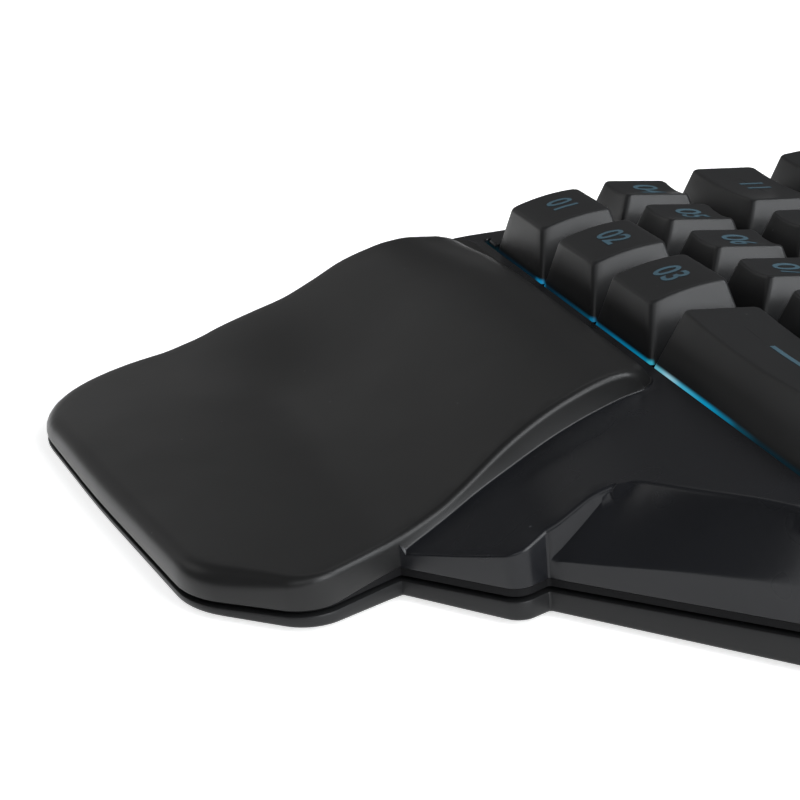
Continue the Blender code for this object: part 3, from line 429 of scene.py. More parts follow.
def palm_round(x, y):
    """Radius of the palm rest's edge: tight along the right wall, softer in front, and softest at the left."""
    front = 1 - eased(y, *FRONT_SPAN)
    back = eased(y, *BACK_SPAN)
    left = 1 - eased(x, *LEFT_SPAN)
    return (
        PALM_ROUND + FRONT_SOFTER * front + BACK_SOFTER * back
        + LEFT_SOFTER * left * (1 - front) + left * back
    )


def ramp_surface(x, y):
    low, high = RAMP_TWIST_SPAN
    twist = RAMP_TWIST * (1 - eased(y, low, high))
    return ramp_profile(y) - twist * np.maximum(x - wall_x(y), 0)


def on_panel(x, y):
    """Whether a place is on the side panel: right of the ridge, and in front of the crease."""
    ridge_x, ridge_y = np.array(RIDGE).T
    beside_ridge = (y <= ridge_y[-1]) & (x > np.interp(y, ridge_y, ridge_x) + PANEL_CLEAR)
    under_crease = (y > ridge_y[-1]) & (x > CREASE[0][0]) & (y < crease_at(x))
    return (beside_ridge | under_crease) & (x > ridge_x[0] + PANEL_CLEAR) & (y > ridge_y[0])


def panel_surface(x, y):
    """The side panel, drawn up from its low edge to the crease and carried on behind it."""
    x = np.maximum(x, RIDGE[0][0])
    low_y = np.interp(x, *zip(*PANEL_FOOT))
    high_y = np.maximum(crease_at(x), low_y + 0.5)
    share = np.maximum((y - low_y) / (high_y - low_y), 0)
    low, high = panel_edge(x), ramp_surface(x, high_y)
    return low + share * (high - low)


def ramp_round(y):
    """Radius of the ramp's free edge: tight along the notch, and softer up the ridge."""
    return RAMP_ROUND + (RIDGE_ROUND - RAMP_ROUND) * eased(y, *RIDGE_SPAN)


def body_surface(x, y):
    """Deck, ramp and wing without the palm rest."""
    places = np.stack((x, y), axis=1)
    ramp, panel = ramp_surface(x, y), panel_surface(x, y)
    free = distance_to(places, RAMP_EDGE, closed=False)
    edge = ramp - dropped(free, ramp_round(y))
    edge = np.where(y > RIDGE[0][1], np.maximum(edge, np.minimum(panel, ramp)), edge)
    blend = CREASE_BLEND + CREASE_ROUND * eased(x, *CREASE_SPAN)
    crease = -smooth_max(-ramp, -panel, blend)
    behind = np.where((x > CREASE[0][0]) & (y > RIDGE[-1][1]), crease, edge)
    wing = distance_to(places, OUTLINE)
    low = np.where(y > RIDGE[-1][1], crease, panel) - dropped(wing, PANEL_ROUND)
    rim_round = PANEL_ROUND + (WING_ROUND - PANEL_ROUND) * eased(y, *RIM_SPAN)
    deck = np.where(y > RIM_FROM, behind - dropped(wing, rim_round), behind)
    return np.where(on_panel(x, y), low, deck)


def top_surface(places):
    """Height of the finished top over places in plan."""
    x, y = places.T
    palm = signed_distance(places, PALM)
    body = body_surface(x, y)
    radius = palm_round(x, y)
    raised = palm_surface(x, y) - dropped(np.maximum(palm, 0), radius)
    on_palm = smooth_max(raised, body + FOOT_ROUND, PALM_BLEND)
    wall = np.clip(-palm / WALL_LEAN, 0, 1)
    foot = body + dropped(np.maximum(-palm - WALL_LEAN, 0), FOOT_ROUND)
    on_wall = on_palm + (body + FOOT_ROUND - on_palm) * wall
    height = np.where(palm >= 0, on_palm, np.where(-palm < WALL_LEAN, on_wall, foot))
    outer = distance_to(places, OUTLINE) < 0.01
    palm_edge = outer & (palm > -0.05) & (np.abs(y - NOTCH[1]) > 0.2)
    height = np.where(palm_edge, raised, height)
    mouth = opening_distance(places)
    return height - dropped(np.maximum(mouth, 0), OPENING_ROUND)


def opening_line():
    """The key opening, with its filled corner, the slot before it and the slot's rounded end."""
    (left, front), (right, back) = KEY_FIELD
    gap, fill = OPENING_GAP, KEY_PITCH - OPENING_GAP
    corners = [
        (right + gap, front - gap), (right + gap, back + gap), (left - gap, back + gap), (left - gap, fill),
        (-gap, fill), (-gap, CAP_GAP), *SLOT_END,
    ]
    return even(np.array(corners, float), step=3)


MOUTH = opening_line()


def opening_loop(margin):
    """The key opening's outline, widened by a margin."""
    return moved_in(MOUTH, -margin)


def opening_distance(places):
    """How far places are outside the key opening."""
    return np.where(inside(places, MOUTH), 0, distance_to(places, MOUTH))


# Meshes

def sheet_over(loops, lines=(), spots=None, keep=None):
    """Triangles over plan loops and lines: the places, and the faces whose middles pass the keep test."""
    plan, edges = [], []
    for group, closed in ((loops, True), (lines, False)):
        for line in group:
            first = len(plan)
            plan += [Vector(point) for point in line]
            count = len(line)
            edges += [(first + i, first + (i + 1) % count) for i in range(count if closed else count - 1)]
    if spots is not None:
        plan += [Vector(point) for point in spots]
    outer = [list(range(len(loops[0])))]
    places, _, faces, _, _, _ = delaunay_2d_cdt(plan, edges, outer, 1, 1e-4)
    places = np.array([tuple(place) for place in places])
    faces = np.array([face for face in faces if len(face) == 3])
    if keep is not None:
        faces = faces[keep(places[faces].mean(1))]
    return places, faces


def grid_spots(loop, step, clear_of, clearance):
    """Plan points in staggered rows inside a loop, clear of the given lines."""
    low, high = loop.min(0), loop.max(0)
    columns = np.arange(low[0] + step / 2, high[0], step)
    rows = np.arange(low[1] + step / 2, high[1], step * math.sqrt(3) / 2)
    x, y = np.meshgrid(columns, rows)
    x = x + (np.arange(len(rows)) % 2)[:, None] * step / 2
    spots = np.stack((x.ravel(), y.ravel()), axis=1)
    spots = spots[inside(spots, loop)]
    for line, closed in clear_of:
        spots = spots[distance_to(spots, line, closed) > clearance]
    return spots


def add_faces(bm, points, faces, flip=False):
    verts = [bm.verts.new(point) for point in points]
    for face in faces:
        corners = [verts[i] for i in face]
        bm.faces.new(corners[::-1] if flip else corners)


def welded(bm, distance=WELD):
    """Join the points that lie together, and turn all faces outwards."""
    bmesh.ops.remove_doubles(bm, verts=bm.verts, dist=distance)
    bmesh.ops.recalc_face_normals(bm, faces=bm.faces)


def mesh_from(bm, name):
    """A mesh of a bmesh, which is used up."""
    mesh = bpy.data.meshes.new(name)
    bm.to_mesh(mesh)
    bm.free()
    return mesh


def laid(mesh, sharp, place=Matrix()):
    """The mesh on the desk in metres, from millimetres of the deck's frame, smooth up to an angle."""
    mesh.transform(TO_DESK @ place)
    mesh.shade_smooth()
    mesh.set_sharp_from_angle(angle=math.radians(sharp))
    return mesh


def finished_mesh(bm, name, distance=WELD):
    """A cover's mesh on the desk, from a bmesh in millimetres of the deck's frame."""
    loose = [vert for vert in bm.verts if not vert.link_faces]
    bmesh.ops.delete(bm, geom=loose, context="VERTS")
    welded(bm, distance)
    return laid(mesh_from(bm, name), COVER_SHARP)


def new_object(name, data):
    obj = bpy.data.objects.new(name, data)
    bpy.context.scene.collection.objects.link(obj)
    return obj


def show(name, mesh, materials, body, slot, *nodes):
    """A piece of the dressed model, which rides on a body and stands for its CAD nodes."""
    obj = new_object(name, mesh)
    for material in materials[len(mesh.materials):]:
        mesh.materials.append(material)
    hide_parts(*nodes)
    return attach(obj, body)


def wall_between(bm, upper, lower):
    """Quads between two closed rings of points."""
    tops = [bm.verts.new(point) for point in upper]
    feet = [bm.verts.new(point) for point in lower]
    for i in range(len(tops)):
        bm.faces.new((tops[i - 1], tops[i], feet[i], feet[i - 1]))


def walls_along(bm, rings):
    """Quads between closed rings of points, from each to the next."""
    for upper, lower in zip(rings, rings[1:]):
        wall_between(bm, upper, lower)


def at_height(line, height):
    return np.column_stack((line, np.broadcast_to(height, len(line))))


# Top cover

def palm_back_line():
    """The palm rest's free wall and back edge, from the notch round to the left side."""
    line = begun_at(PALM, NOTCH)
    return line[:nearest_index(line, PALM_START) + 1]


def off_palm(line, margin):
    """The line's points that are outside the palm rest by more than a margin."""
    return line[signed_distance(line, PALM) < -margin]


def cover_lines():
    """Open lines that the cover's mesh follows: the wall's foot, the ramp, the ridge, the crease and the wing."""
    back_line, within = palm_back_line(), moved_in(OUTLINE, CLEAR["foot"])
    feet = [moved_in(back_line, -WALL_LEAN - FOOT_ROUND * share, closed=False) for share in FOOT_SHARES]
    feet = [line[inside(line, within)] for line in feet]
    edge_round = ramp_round(RAMP_EDGE[:, 1])
    ramps = [moved_in(RAMP_EDGE, edge_round * share, closed=False) for share in ROUND_SHARES[1:]]
    ramps = [off_palm(line, CLEAR["ramp"]) for line in ramps]
    ridges = [RIDGE_LINE, moved_in(RIDGE_LINE, -RIDGE_FOOT, closed=False)]
    ridges = [line[signed_distance(line, OUTLINE) > CLEAR["ridge"]] for line in ridges]
    creases = [moved_in(CREASE_LINE[CREASE_ENDS], aside, closed=False) for aside in CREASE_ASIDES]
    creases = [line[signed_distance(line, OUTLINE) > CLEAR["crease"]] for line in (CREASE_LINE, *creases)]
    wings = [moved_in(WING_LINE, WING_ROUND * share, closed=False)[WING_ENDS] for share in ROUND_SHARES[1:]]
    wings = [off_palm(line, CLEAR["wing"]) for line in wings]
    wings = [line[distance_to(line, RAMP_EDGE, closed=False) > CLEAR["wing_ramp"]] for line in wings]
    return feet + ramps + ridges + creases + wings


def cover_skin():
    """The top cover's outer skin: its points, and its faces."""
    radii = palm_round(*PALM.T)
    palm_loops = [moved_in(PALM, radii * share) for share in ROUND_SHARES[1:]]
    mouths = [opening_loop(OPENING_ROUND * share) for share in ROUND_SHARES]
    lines = cover_lines()
    clear_of = [(loop, True) for loop in (OUTLINE, PALM, *palm_loops, mouths[-1])]
    spots = grid_spots(OUTLINE, GRID_STEP, clear_of + [(line, False) for line in lines], GRID_CLEAR)
    spots = spots[opening_distance(spots) > CLEAR["mouth"]]
    places, faces = sheet_over(
        [OUTLINE, PALM, *palm_loops, *mouths], lines, spots, keep=lambda middles: opening_distance(middles) > 0,
    )
    return at_height(places, top_surface(places)), faces


def top_cover_mesh():
    bm = bmesh.new()
    add_faces(bm, *cover_skin())

    lip = lip_height(OUTLINE[:, 1])
    lips = (
        (0, lip + 0.25), (0.03, lip + 0.13), (0.12, lip + 0.03), (LIP_STEP, lip),
        (LIP_STEP, 0.08), (LIP_STEP + 0.08, 0), (CASE_WALL, 0),
    )
    rings = [at_height(OUTLINE, top_surface(OUTLINE))]
    rings += [at_height(moved_in(OUTLINE, margin), SEAM_TOP + rise) for margin, rise in lips]
    walls_along(bm, rings)

    mouth, hole = opening_loop(0), opening_loop(SKIRT_WALL)
    skirt_foot, hole_foot = at_height(mouth, SKIRT_BOTTOM), at_height(hole, SKIRT_BOTTOM)
    wall_between(bm, skirt_foot, at_height(mouth, top_surface(mouth)))
    wall_between(bm, hole_foot, skirt_foot)

    core = moved_in(OUTLINE, CASE_WALL)
    spots = grid_spots(core, CORE_STEP, [(core, True), (hole, True)], CORE_STEP / 2)
    places, faces = sheet_over([core, hole], (), spots, keep=lambda middles: ~inside(middles, hole))
    add_faces(bm, at_height(places, core_ceiling(places)), faces, flip=True)
    wall_between(bm, rings[-1], at_height(core, core_ceiling(core)))
    wall_between(bm, at_height(hole, core_ceiling(hole)), hole_foot)
    sort_finishes(bm)
    return finished_mesh(bm, "top_cover_shell", COVER_WELD)


def lip_height(y):
    """Height of the seam's stepped lip: hardly there round the palm rest, and full from the notch on."""
    return PALM_LIP + (LIP_HEIGHT - PALM_LIP) * eased(y, *LIP_SPAN)


def sort_finishes(bm):
    """The palm rest's faces take the second material, the lit skirt's the third, and the seam's lip the fourth, a
    darker finish that is painted shade in the seam's groove.
    """
    middles = np.array([tuple(face.calc_center_median()) for face in bm.faces])
    plan, height = middles[:, :2], middles[:, 2]
    lip = SEAM_TOP + lip_height(plan[:, 1])
    on_palm = (signed_distance(plan, PALM) > -0.3) & (height > lip)
    on_skirt = (opening_distance(plan) < SKIRT_WALL + 0.05) & (height < -OPENING_ROUND)
    # The seam's lip, whose faces take a darker finish as painted shade in the groove of the seam
    on_shaded_lip = (height < lip) & (signed_distance(plan, OUTLINE) < LIP_STEP + 0.1)
    for face, palm, skirt, low in zip(bm.faces, on_palm, on_skirt, on_shaded_lip):
        face.material_index = 3 if low else 2 if skirt else 1 if palm else 0


def core_ceiling(places):
    """The inside of the top cover, a wall's thickness under the lowest of the surface around it."""
    reach = CEILING_REACH
    steps = ((0, 0), (reach, 0), (-reach, 0), (0, reach), (0, -reach))
    return np.minimum.reduce([top_surface(places + step) for step in steps]) - CASE_WALL * CEILING_SHARE


# Bottom cover, with its tongue, its pockets for the feet and its screw recesses

def underside(places, rise=0.0):
    return -DECK_HEIGHT - places[:, 1] * FLOOR_SLOPE + rise


def ring_of(radius, place, count=32):
    turns = np.arange(count) * 2 * math.pi / count
    return np.array(place) + radius * np.stack((np.cos(turns), np.sin(turns)), axis=1)


def pad_loop(place, margin=0.0):
    half_x, half_y = PAD_SIZE[0] / 2 + margin, PAD_SIZE[1] / 2 + margin
    corners = [(place[0] + i * half_x, place[1] + j * half_y, PAD_CORNER) for i, j in SQUARE]
    return rounded(corners)


def bottom_cover_mesh():
    bm = bmesh.new()
    inner = TONGUE_FROM + TONGUE_WIDTH
    rings = [
        (inner, None, TRAY_FLOOR), (inner, TONGUE_TOP, 0), (TONGUE_FROM, TONGUE_TOP, 0),
        (TONGUE_FROM, SEAM_BOTTOM, 0), (LIP_ROUND, SEAM_BOTTOM, 0),
        (LIP_ROUND * 0.3, SEAM_BOTTOM - LIP_ROUND * 0.3, 0), (0, SEAM_BOTTOM - LIP_ROUND, 0),
    ]
    rings += [(TRAY_ROUND * (1 - math.cos(a)), None, TRAY_ROUND * (1 - math.sin(a))) for a in ROUND_ANGLES[::2]]
    shaped = []
    for margin, height, rise in rings:
        line = moved_in(OUTLINE, margin)
        shaped.append(at_height(line, underside(line, rise) if height is None else height))
    walls_along(bm, shaped)

    for ring, rise, turned in ((shaped[0], TRAY_FLOOR, False), (shaped[-1], 0, True)):
        places, faces = sheet_over([ring[:, :2]])
        add_faces(bm, at_height(places, underside(places, rise)), faces, flip=turned)
    welded(bm)
    tray = new_object("tray", mesh_from(bm, "tray"))
    below = -DECK_HEIGHT - 10
    room = [peg(place, POST_ROOM, SEAM_BOTTOM, TONGUE_TOP + 1) for place in SCREW_PLACES]
    bosses = [peg(place, BOSS_RADIUS, boss_foot(place), SEAM_BOTTOM) for place in SCREW_PLACES]
    recesses = [peg(place, SCREW_RECESS, below, SCREW_SEAT) for place in SCREW_PLACES]
    holes = [peg(place, SCREW_HOLE, below, SEAM_BOTTOM + 1) for place in SCREW_PLACES]
    pockets = [pad_pocket(place, below) for place in PAD_PLACES]
    doorway = [peg((0, 0), GLAND_HOLE, -8, 8)]
    doorway[0].transform(Matrix.Translation(GLAND_PLACE) @ Matrix.Rotation(math.radians(90), 4, "X"))
    cuts = (
        ("DIFFERENCE", room), ("UNION", bosses), ("DIFFERENCE", recesses + pockets + doorway),
        ("DIFFERENCE", holes),
    )
    for kind, cutters in cuts:
        tray = combined(tray, cutters, kind)
    bm = bmesh.new()
    bm.from_mesh(tray.data)
    bpy.data.objects.remove(tray)
    return finished_mesh(bm, "bottom_cover_shell")


def boss_foot(place):
    return float(underside(np.array([place]), TRAY_FLOOR / 2)[0])


def column_mesh(loop, low, high):
    """A closed column over a plan loop, between two heights that may change over it."""
    bm = bmesh.new()
    rings = [[bm.verts.new(point) for point in at_height(loop, height)] for height in (low, high)]
    for i in range(len(loop)):
        bm.faces.new((rings[0][i - 1], rings[0][i], rings[1][i], rings[1][i - 1]))
    bm.faces.new(rings[0][::-1])
    bm.faces.new(rings[1])
    bmesh.ops.recalc_face_normals(bm, faces=bm.faces)
    return mesh_from(bm, "column")


def peg(place, radius, low, high):
    return column_mesh(ring_of(radius, place), low, high)


def pad_pocket(place, below):
    loop = pad_loop(place, PAD_GAP)
    return column_mesh(loop, below, underside(loop, PAD_SINK))


def combined(obj, meshes, kind):
    """The object after an exact Boolean with all the meshes, one after another."""
    helpers = []
    for mesh in meshes:
        helper = new_object("cutter", mesh)
        helpers.append(helper)
        step = obj.modifiers.new("carve", "BOOLEAN")
        step.operation, step.solver, step.object = kind, "EXACT", helper
    graph = bpy.context.evaluated_depsgraph_get()
    made = bpy.data.meshes.new_from_object(obj.evaluated_get(graph))
    obj.modifiers.clear()
    obj.data = made
    for helper in helpers:
        bpy.data.objects.remove(helper)
    return obj


# Feet, screws and cable gland, grown by trees of Geometry Nodes

def grower(name, sizes):
    """An empty tree with a geometry input and named sizes."""
    tree = bpy.data.node_groups.new(name, "GeometryNodeTree")
    tree.interface.new_socket("Geometry", in_out="INPUT", socket_type="NodeSocketGeometry")
    for label, value in sizes.items():
        kind = "NodeSocketInt" if isinstance(value, int) else "NodeSocketFloat"
        socket = tree.interface.new_socket(label, in_out="INPUT", socket_type=kind)
        socket.default_value = value
    tree.interface.new_socket("Geometry", in_out="OUTPUT", socket_type="NodeSocketGeometry")
    return tree, tree.nodes.new("NodeGroupInput").outputs


def feed(tree, socket, value):
    """Set a socket to a value, or link it to the node or the output that feeds it."""
    if isinstance(value, bpy.types.Node):
        value = value.outputs[0]
    if isinstance(value, bpy.types.NodeSocket):
        tree.links.new(value, socket)
    else:
        socket.default_value = value


def add_node(tree, kind, settings=None, **sockets):
    """A node with its settings and its inputs; a list feeds one input from several nodes."""
    node = tree.nodes.new(kind)
    for label, value in (settings or {}).items():
        setattr(node, label, value)
    for label, value in sockets.items():
        for source in value if isinstance(value, list) else [value]:
            feed(tree, node.inputs[label.replace("_", " ")], source)
    return node


def maths(tree, operation, *values):
    node = add_node(tree, "ShaderNodeMath", {"operation": operation})
    for socket, value in zip(node.inputs, values):
        feed(tree, socket, value)
    return node.outputs[0]


def vector(tree, **parts):
    return add_node(tree, "ShaderNodeCombineXYZ", **parts)


def moved(tree, geometry, rotation=(0, 0, 0), **place):
    """Geometry turned, and moved along X, Y or Z."""
    shift = vector(tree, **place)
    return add_node(tree, "GeometryNodeTransform", Geometry=geometry, Translation=shift, Rotation=rotation)


def end_tree(tree, geometry, material):
    """Realize the instances, set the material and put the result out."""
    real = add_node(tree, "GeometryNodeRealizeInstances", Geometry=geometry)
    finish = add_node(tree, "GeometryNodeSetMaterial", Geometry=real, Material=material)
    add_node(tree, "NodeGroupOutput", Geometry=finish)
    return tree


def grown_mesh(name, start, tree, sizes, place=Matrix()):
    """The plain mesh that a tree makes from a start mesh in millimetres, laid on the desk in metres."""
    obj = new_object(name, start)
    step = obj.modifiers.new("grow", "NODES")
    step.node_group = tree
    for socket in tree.interface.items_tree:
        if socket.in_out == "INPUT" and socket.name in sizes:
            step[socket.identifier] = sizes[socket.name]
    graph = bpy.context.evaluated_depsgraph_get()
    mesh = bpy.data.meshes.new_from_object(obj.evaluated_get(graph))
    bpy.data.objects.remove(obj)
    return laid(mesh, GROWN_SHARP, place)


def spots_mesh(places):
    mesh = bpy.data.meshes.new("spots")
    mesh.from_pydata([tuple(map(float, place)) for place in places], [], [])
    return mesh


def foot_tree(material):
    """A bevelled rubber pad on each point, turned to lie level."""
    sizes = {"Length": 1.0, "Width": 1.0, "Corner": 1.0, "Depth": 1.0, "Edge": 0.1, "Sink": 0.1, "Tilt": 0.0}
    tree, given = grower("rubber_pad", sizes)
    plan = add_node(tree, "GeometryNodeCurvePrimitiveQuadrilateral", Width=given["Length"], Height=given["Width"])
    plan = add_node(tree, "GeometryNodeFilletCurve", {"mode": "POLY"}, Curve=plan, Radius=given["Corner"], Count=8)
    sheet = add_node(tree, "GeometryNodeFillCurve", {"mode": "NGONS"}, Curve=plan)
    straight = maths(tree, "SUBTRACT", given["Depth"], given["Edge"])
    side = add_node(tree, "GeometryNodeExtrudeMesh", Mesh=sheet, Offset_Scale=straight)
    edge = add_node(tree, "GeometryNodeExtrudeMesh", Mesh=side, Selection=side.outputs["Top"],
                    Offset_Scale=given["Edge"])
    taper = add_node(tree, "GeometryNodeScaleElements", Geometry=edge, Selection=edge.outputs["Top"], Scale=0.94)
    back = add_node(tree, "GeometryNodeFlipFaces", Mesh=sheet)
    joined = add_node(tree, "GeometryNodeJoinGeometry", Geometry=[taper, back])
    pad = add_node(tree, "GeometryNodeMergeByDistance", Geometry=joined, Distance=0.001)
    turned = moved(tree, pad, rotation=(math.pi, 0, 0), Z=given["Sink"])
    pads = add_node(tree, "GeometryNodeInstanceOnPoints", Points=given["Geometry"], Instance=turned,
                    Rotation=vector(tree, X=given["Tilt"]))
    return end_tree(tree, pads, material)


def screw_tree(material):
    """A pan-head screw with a cross recess on each point."""
    tree, given = grower("case_screw", dict.fromkeys(SCREW_SIZES, 1.0))
    times, less = partial(maths, tree, "MULTIPLY"), partial(maths, tree, "SUBTRACT")
    head, high, shank, length = (given[label] for label in SCREW_SIZES)
    bevel, drop = times(high, 0.35), times(high, -1)
    crown = add_node(tree, "GeometryNodeMeshCone", Vertices=32, Radius_Bottom=less(head, bevel), Radius_Top=head,
                     Depth=bevel)
    body_height, stem_length, tip_height = times(high, 0.7), times(length, 0.8), times(length, 0.22)
    body = add_node(tree, "GeometryNodeMeshCylinder", Vertices=32, Radius=head, Depth=body_height)
    stem = add_node(tree, "GeometryNodeMeshCylinder", Vertices=24, Radius=shank, Depth=stem_length)
    tip = add_node(tree, "GeometryNodeMeshCone", Vertices=24, Radius_Bottom=shank, Radius_Top=times(shank, 0.5),
                   Depth=tip_height)
    parts = [
        moved(tree, crown, Z=drop), moved(tree, body, Z=times(body_height, -0.5)),
        moved(tree, stem, Z=less(times(stem_length, 0.5), 0.05)), moved(tree, tip, Z=less(length, tip_height)),
    ]
    whole = add_node(tree, "GeometryNodeMeshBoolean", {"operation": "UNION"}, Mesh_2=parts)
    slot = add_node(tree, "GeometryNodeMeshCube", Size=vector(tree, X=times(head, 1.1), Y=times(head, 0.2), Z=high))
    slots = [moved(tree, slot, rotation=(0, 0, turn), Z=drop) for turn in (0, math.radians(90))]
    cut = add_node(tree, "GeometryNodeMeshBoolean", {"operation": "DIFFERENCE"}, Mesh_1=whole, Mesh_2=slots)
    screws = add_node(tree, "GeometryNodeInstanceOnPoints", Points=given["Geometry"], Instance=cut)
    return end_tree(tree, screws, material)


def rib_tree(material):
    """The boot that comes in, with rings round it at even steps along its length."""
    sizes = {"Ribs": 2, "First": 0.0, "Step": 1.0, "Radius": 1.0, "Bead": 0.1, "Taper": 0.0}
    tree, given = grower("boot_ribs", sizes)
    ring = add_node(tree, "GeometryNodeCurvePrimitiveCircle", Resolution=40, Radius=given["Radius"])
    bead = add_node(tree, "GeometryNodeCurvePrimitiveCircle", Resolution=10, Radius=given["Bead"])
    swept = add_node(tree, "GeometryNodeCurveToMesh", Curve=ring, Profile_Curve=bead)
    upright = moved(tree, swept, rotation=(math.pi / 2, 0, 0))
    row = add_node(tree, "GeometryNodeMeshLine", Count=given["Ribs"], Start_Location=vector(tree, Y=given["First"]),
                   Offset=vector(tree, Y=given["Step"]))
    index = tree.nodes.new("GeometryNodeInputIndex")
    size = maths(tree, "SUBTRACT", 1.0, maths(tree, "MULTIPLY", index, given["Taper"]))
    ribs = add_node(tree, "GeometryNodeInstanceOnPoints", Points=row, Instance=upright,
                    Scale=vector(tree, X=size, Y=1.0, Z=size))
    joined = add_node(tree, "GeometryNodeJoinGeometry", Geometry=[moved(tree, given["Geometry"]), ribs])
    return end_tree(tree, joined, material)


def make_feet(rubber):
    places = np.array(PAD_PLACES, float)
    start = spots_mesh(at_height(places, underside(places)))
    sizes = {
        "Length": float(PAD_SIZE[0]), "Width": float(PAD_SIZE[1]), "Corner": PAD_CORNER,
        "Depth": PAD_PROUD + PAD_SINK - PAD_GAP, "Edge": 0.3, "Sink": PAD_SINK - PAD_GAP, "Tilt": -TYPING_ANGLE,
    }
    mesh = grown_mesh("rubber_feet", start, foot_tree(rubber), sizes)
    nodes = [f"rubber_foot_{number}" for number in range(1, 7)]
    show("rubber_feet", mesh, (rubber,), "case", "foot_rubber", *nodes)


def make_screws(steel):
    places = np.array(SCREW_PLACES, float)
    start = spots_mesh(at_height(places, SCREW_SEAT - 0.3))
    mesh = grown_mesh("case_screws", start, screw_tree(steel), SCREW_SIZES)
    nodes = [f"case_screw_{number}" for number in range(1, 9)]
    show("case_screws", mesh, (steel,), "case", "screw_steel", *nodes)


def turned_mesh(profile, count=40):
    """A closed ring of the profile's (radius, y) points, turned about the y axis."""
    bm = bmesh.new()
    rings = []
    for radius, along in profile:
        turns = np.arange(count) * 2 * math.pi / count
        rings.append([bm.verts.new((radius * math.cos(t), along, radius * math.sin(t))) for t in turns])
    for ring, after in zip(rings, rings[1:] + rings[:1]):
        for i in range(count):
            bm.faces.new((ring[i - 1], ring[i], after[i], after[i - 1]))
    bmesh.ops.recalc_face_normals(bm, faces=bm.faces)
    return mesh_from(bm, "turned")


def make_gland(rubber):
    place = Matrix.Translation(GLAND_PLACE)
    mesh = grown_mesh("cable_boot", turned_mesh(GLAND_PROFILE), rib_tree(rubber), GLAND_RIBS, place)
    show("cable_boot", mesh, (rubber,), "case", "gland_rubber", "cable_gland")


# Keycaps, with their legends

def cap_ring(half_x, front, back, radius):
    """A rounded rectangle with the same number of points whatever its size."""
    middle, half_y = (front + back) / 2, (back - front) / 2
    radius = min(radius, half_x, half_y)
    points = []
    for quarter, (i, j) in enumerate(((1, -1), (1, 1), (-1, 1), (-1, -1))):
        centre = np.array((i * (half_x - radius), middle + j * (half_y - radius)))
        turns = math.radians(90) * (quarter - 1 + np.linspace(0, 1, CAP_ARC + 1))
        arc = centre + radius * np.stack((np.cos(turns), np.sin(turns)), axis=1)
        if points:
            points += side_points(points[-1], arc[0], quarter)
        points += list(arc)
    return np.array(points + side_points(points[-1], points[0], 4))


def side_points(start, end, side):
    count = CAP_SIDE[side % 2]
    return [start + (end - start) * share / count for share in range(1, count)]


class Keycap:
    """A keycap's measures in millimetres, about its own middle."""

    def __init__(self, name, centre, width, heights, insets):
        self.name, self.centre, self.width = name, centre, width
        self.is_thumb, self.is_crowned = name == "thumb_key", name.startswith("key_front")
        self.half_foot = width / 2 - CAP_GAP
        self.half_top = width / 2 - CAP_INSET
        self.front = -KEY_PITCH / 2 + insets[0] * CAP_INSET
        self.back = KEY_PITCH / 2 - insets[1] * CAP_INSET
        self.heights = [share * CAP_HEIGHT for share in heights]
        self.dish = THUMB_DISH if self.is_thumb else 0 if self.is_crowned else CAP_DISH

    def top(self, x, y):
        share = (y - self.front) / (self.back - self.front)
        low, high = self.heights
        crown = CAP_CROWN * 4 * share * (1 - share) if self.is_crowned else 0
        hollow = self.dish * np.maximum(1 - (x / self.half_top) ** 2, 0)
        return low + (high - low) * share + crown - hollow

    def outline(self, share, margin=0.0):
        """The cap's outline at a share of its height, moved in by a margin."""
        half_depth = KEY_PITCH / 2 - CAP_GAP
        half_x = self.half_foot + (self.half_top - self.half_foot) * share - margin
        front = -half_depth + (self.front + half_depth) * share + margin
        back = half_depth + (self.back - half_depth) * share - margin
        return cap_ring(half_x, front, back, CAP_CORNER + 0.25 * share)

    def ring(self, share, margin=0.0, fall=0.0):
        line = self.outline(share, margin)
        edge = self.top(*line.T)
        return np.column_stack((line, CAP_FOOT + (edge - CAP_FOOT) * share - fall))

    def mesh(self):
        bm = bmesh.new()
        low, high = self.ring(0), self.ring(1)
        outside = [low + (high - low) * share for share in CAP_RINGS]
        edge = 1 - CAP_EDGE / CAP_HEIGHT
        start, corner, end = low + (high - low) * edge, high, self.ring(1, CAP_EDGE)
        for t in CAP_EDGE_STEPS:
            outside.append(start * (1 - t) ** 2 + corner * 2 * t * (1 - t) + end * t**2)
        room = min(self.half_top, (self.back - self.front) / 2) - CAP_EDGE
        for share in CAP_TOP_RINGS:
            outside.append(self.ring(1, CAP_EDGE + room * share * 0.999))
        for lower, upper in zip(outside, outside[1:]):
            wall_between(bm, upper, lower)
        bm.faces.new([bm.verts.new(point) for point in outside[-1]])
        inner_low = np.column_stack((self.outline(0, CAP_WALL), np.full(len(low), CAP_FOOT)))
        roof = min(self.heights) - self.dish - CAP_WALL
        inner_high = np.column_stack((self.outline(1, CAP_WALL * 0.7), np.full(len(low), roof)))
        wall_between(bm, low, inner_low)
        wall_between(bm, inner_low, inner_high)
        bm.faces.new([bm.verts.new(point) for point in inner_high])
        for place in self.stems():
            foot = np.array([(place + i * STEM_SIDE / 2, j * STEM_SIDE / 2, STEM_FOOT) for i, j in SQUARE])
            wall_between(bm, foot + (0, 0, roof - STEM_FOOT), foot)
            bm.faces.new([bm.verts.new(point) for point in foot])
        return bm

    def stems(self):
        aside = 0.3 * self.width
        return (-aside, 0, aside) if self.is_thumb else (0,)


def key_rows():
    keys = []
    for row, (name, left, widths, heights, insets) in enumerate(KEY_ROWS):
        for number, width in enumerate(widths, 1):
            centre = ((left + width / 2) * KEY_PITCH, (row + 0.5) * KEY_PITCH)
            keys.append(Keycap(f"key_{name}_{number}", centre, width * KEY_PITCH, heights, insets))
            left += width
    left, width, heights, insets = THUMB_KEY
    centre = ((left + width / 2) * KEY_PITCH, 0.5 * KEY_PITCH)
    return keys + [Keycap("thumb_key", centre, width * KEY_PITCH, heights, insets)]


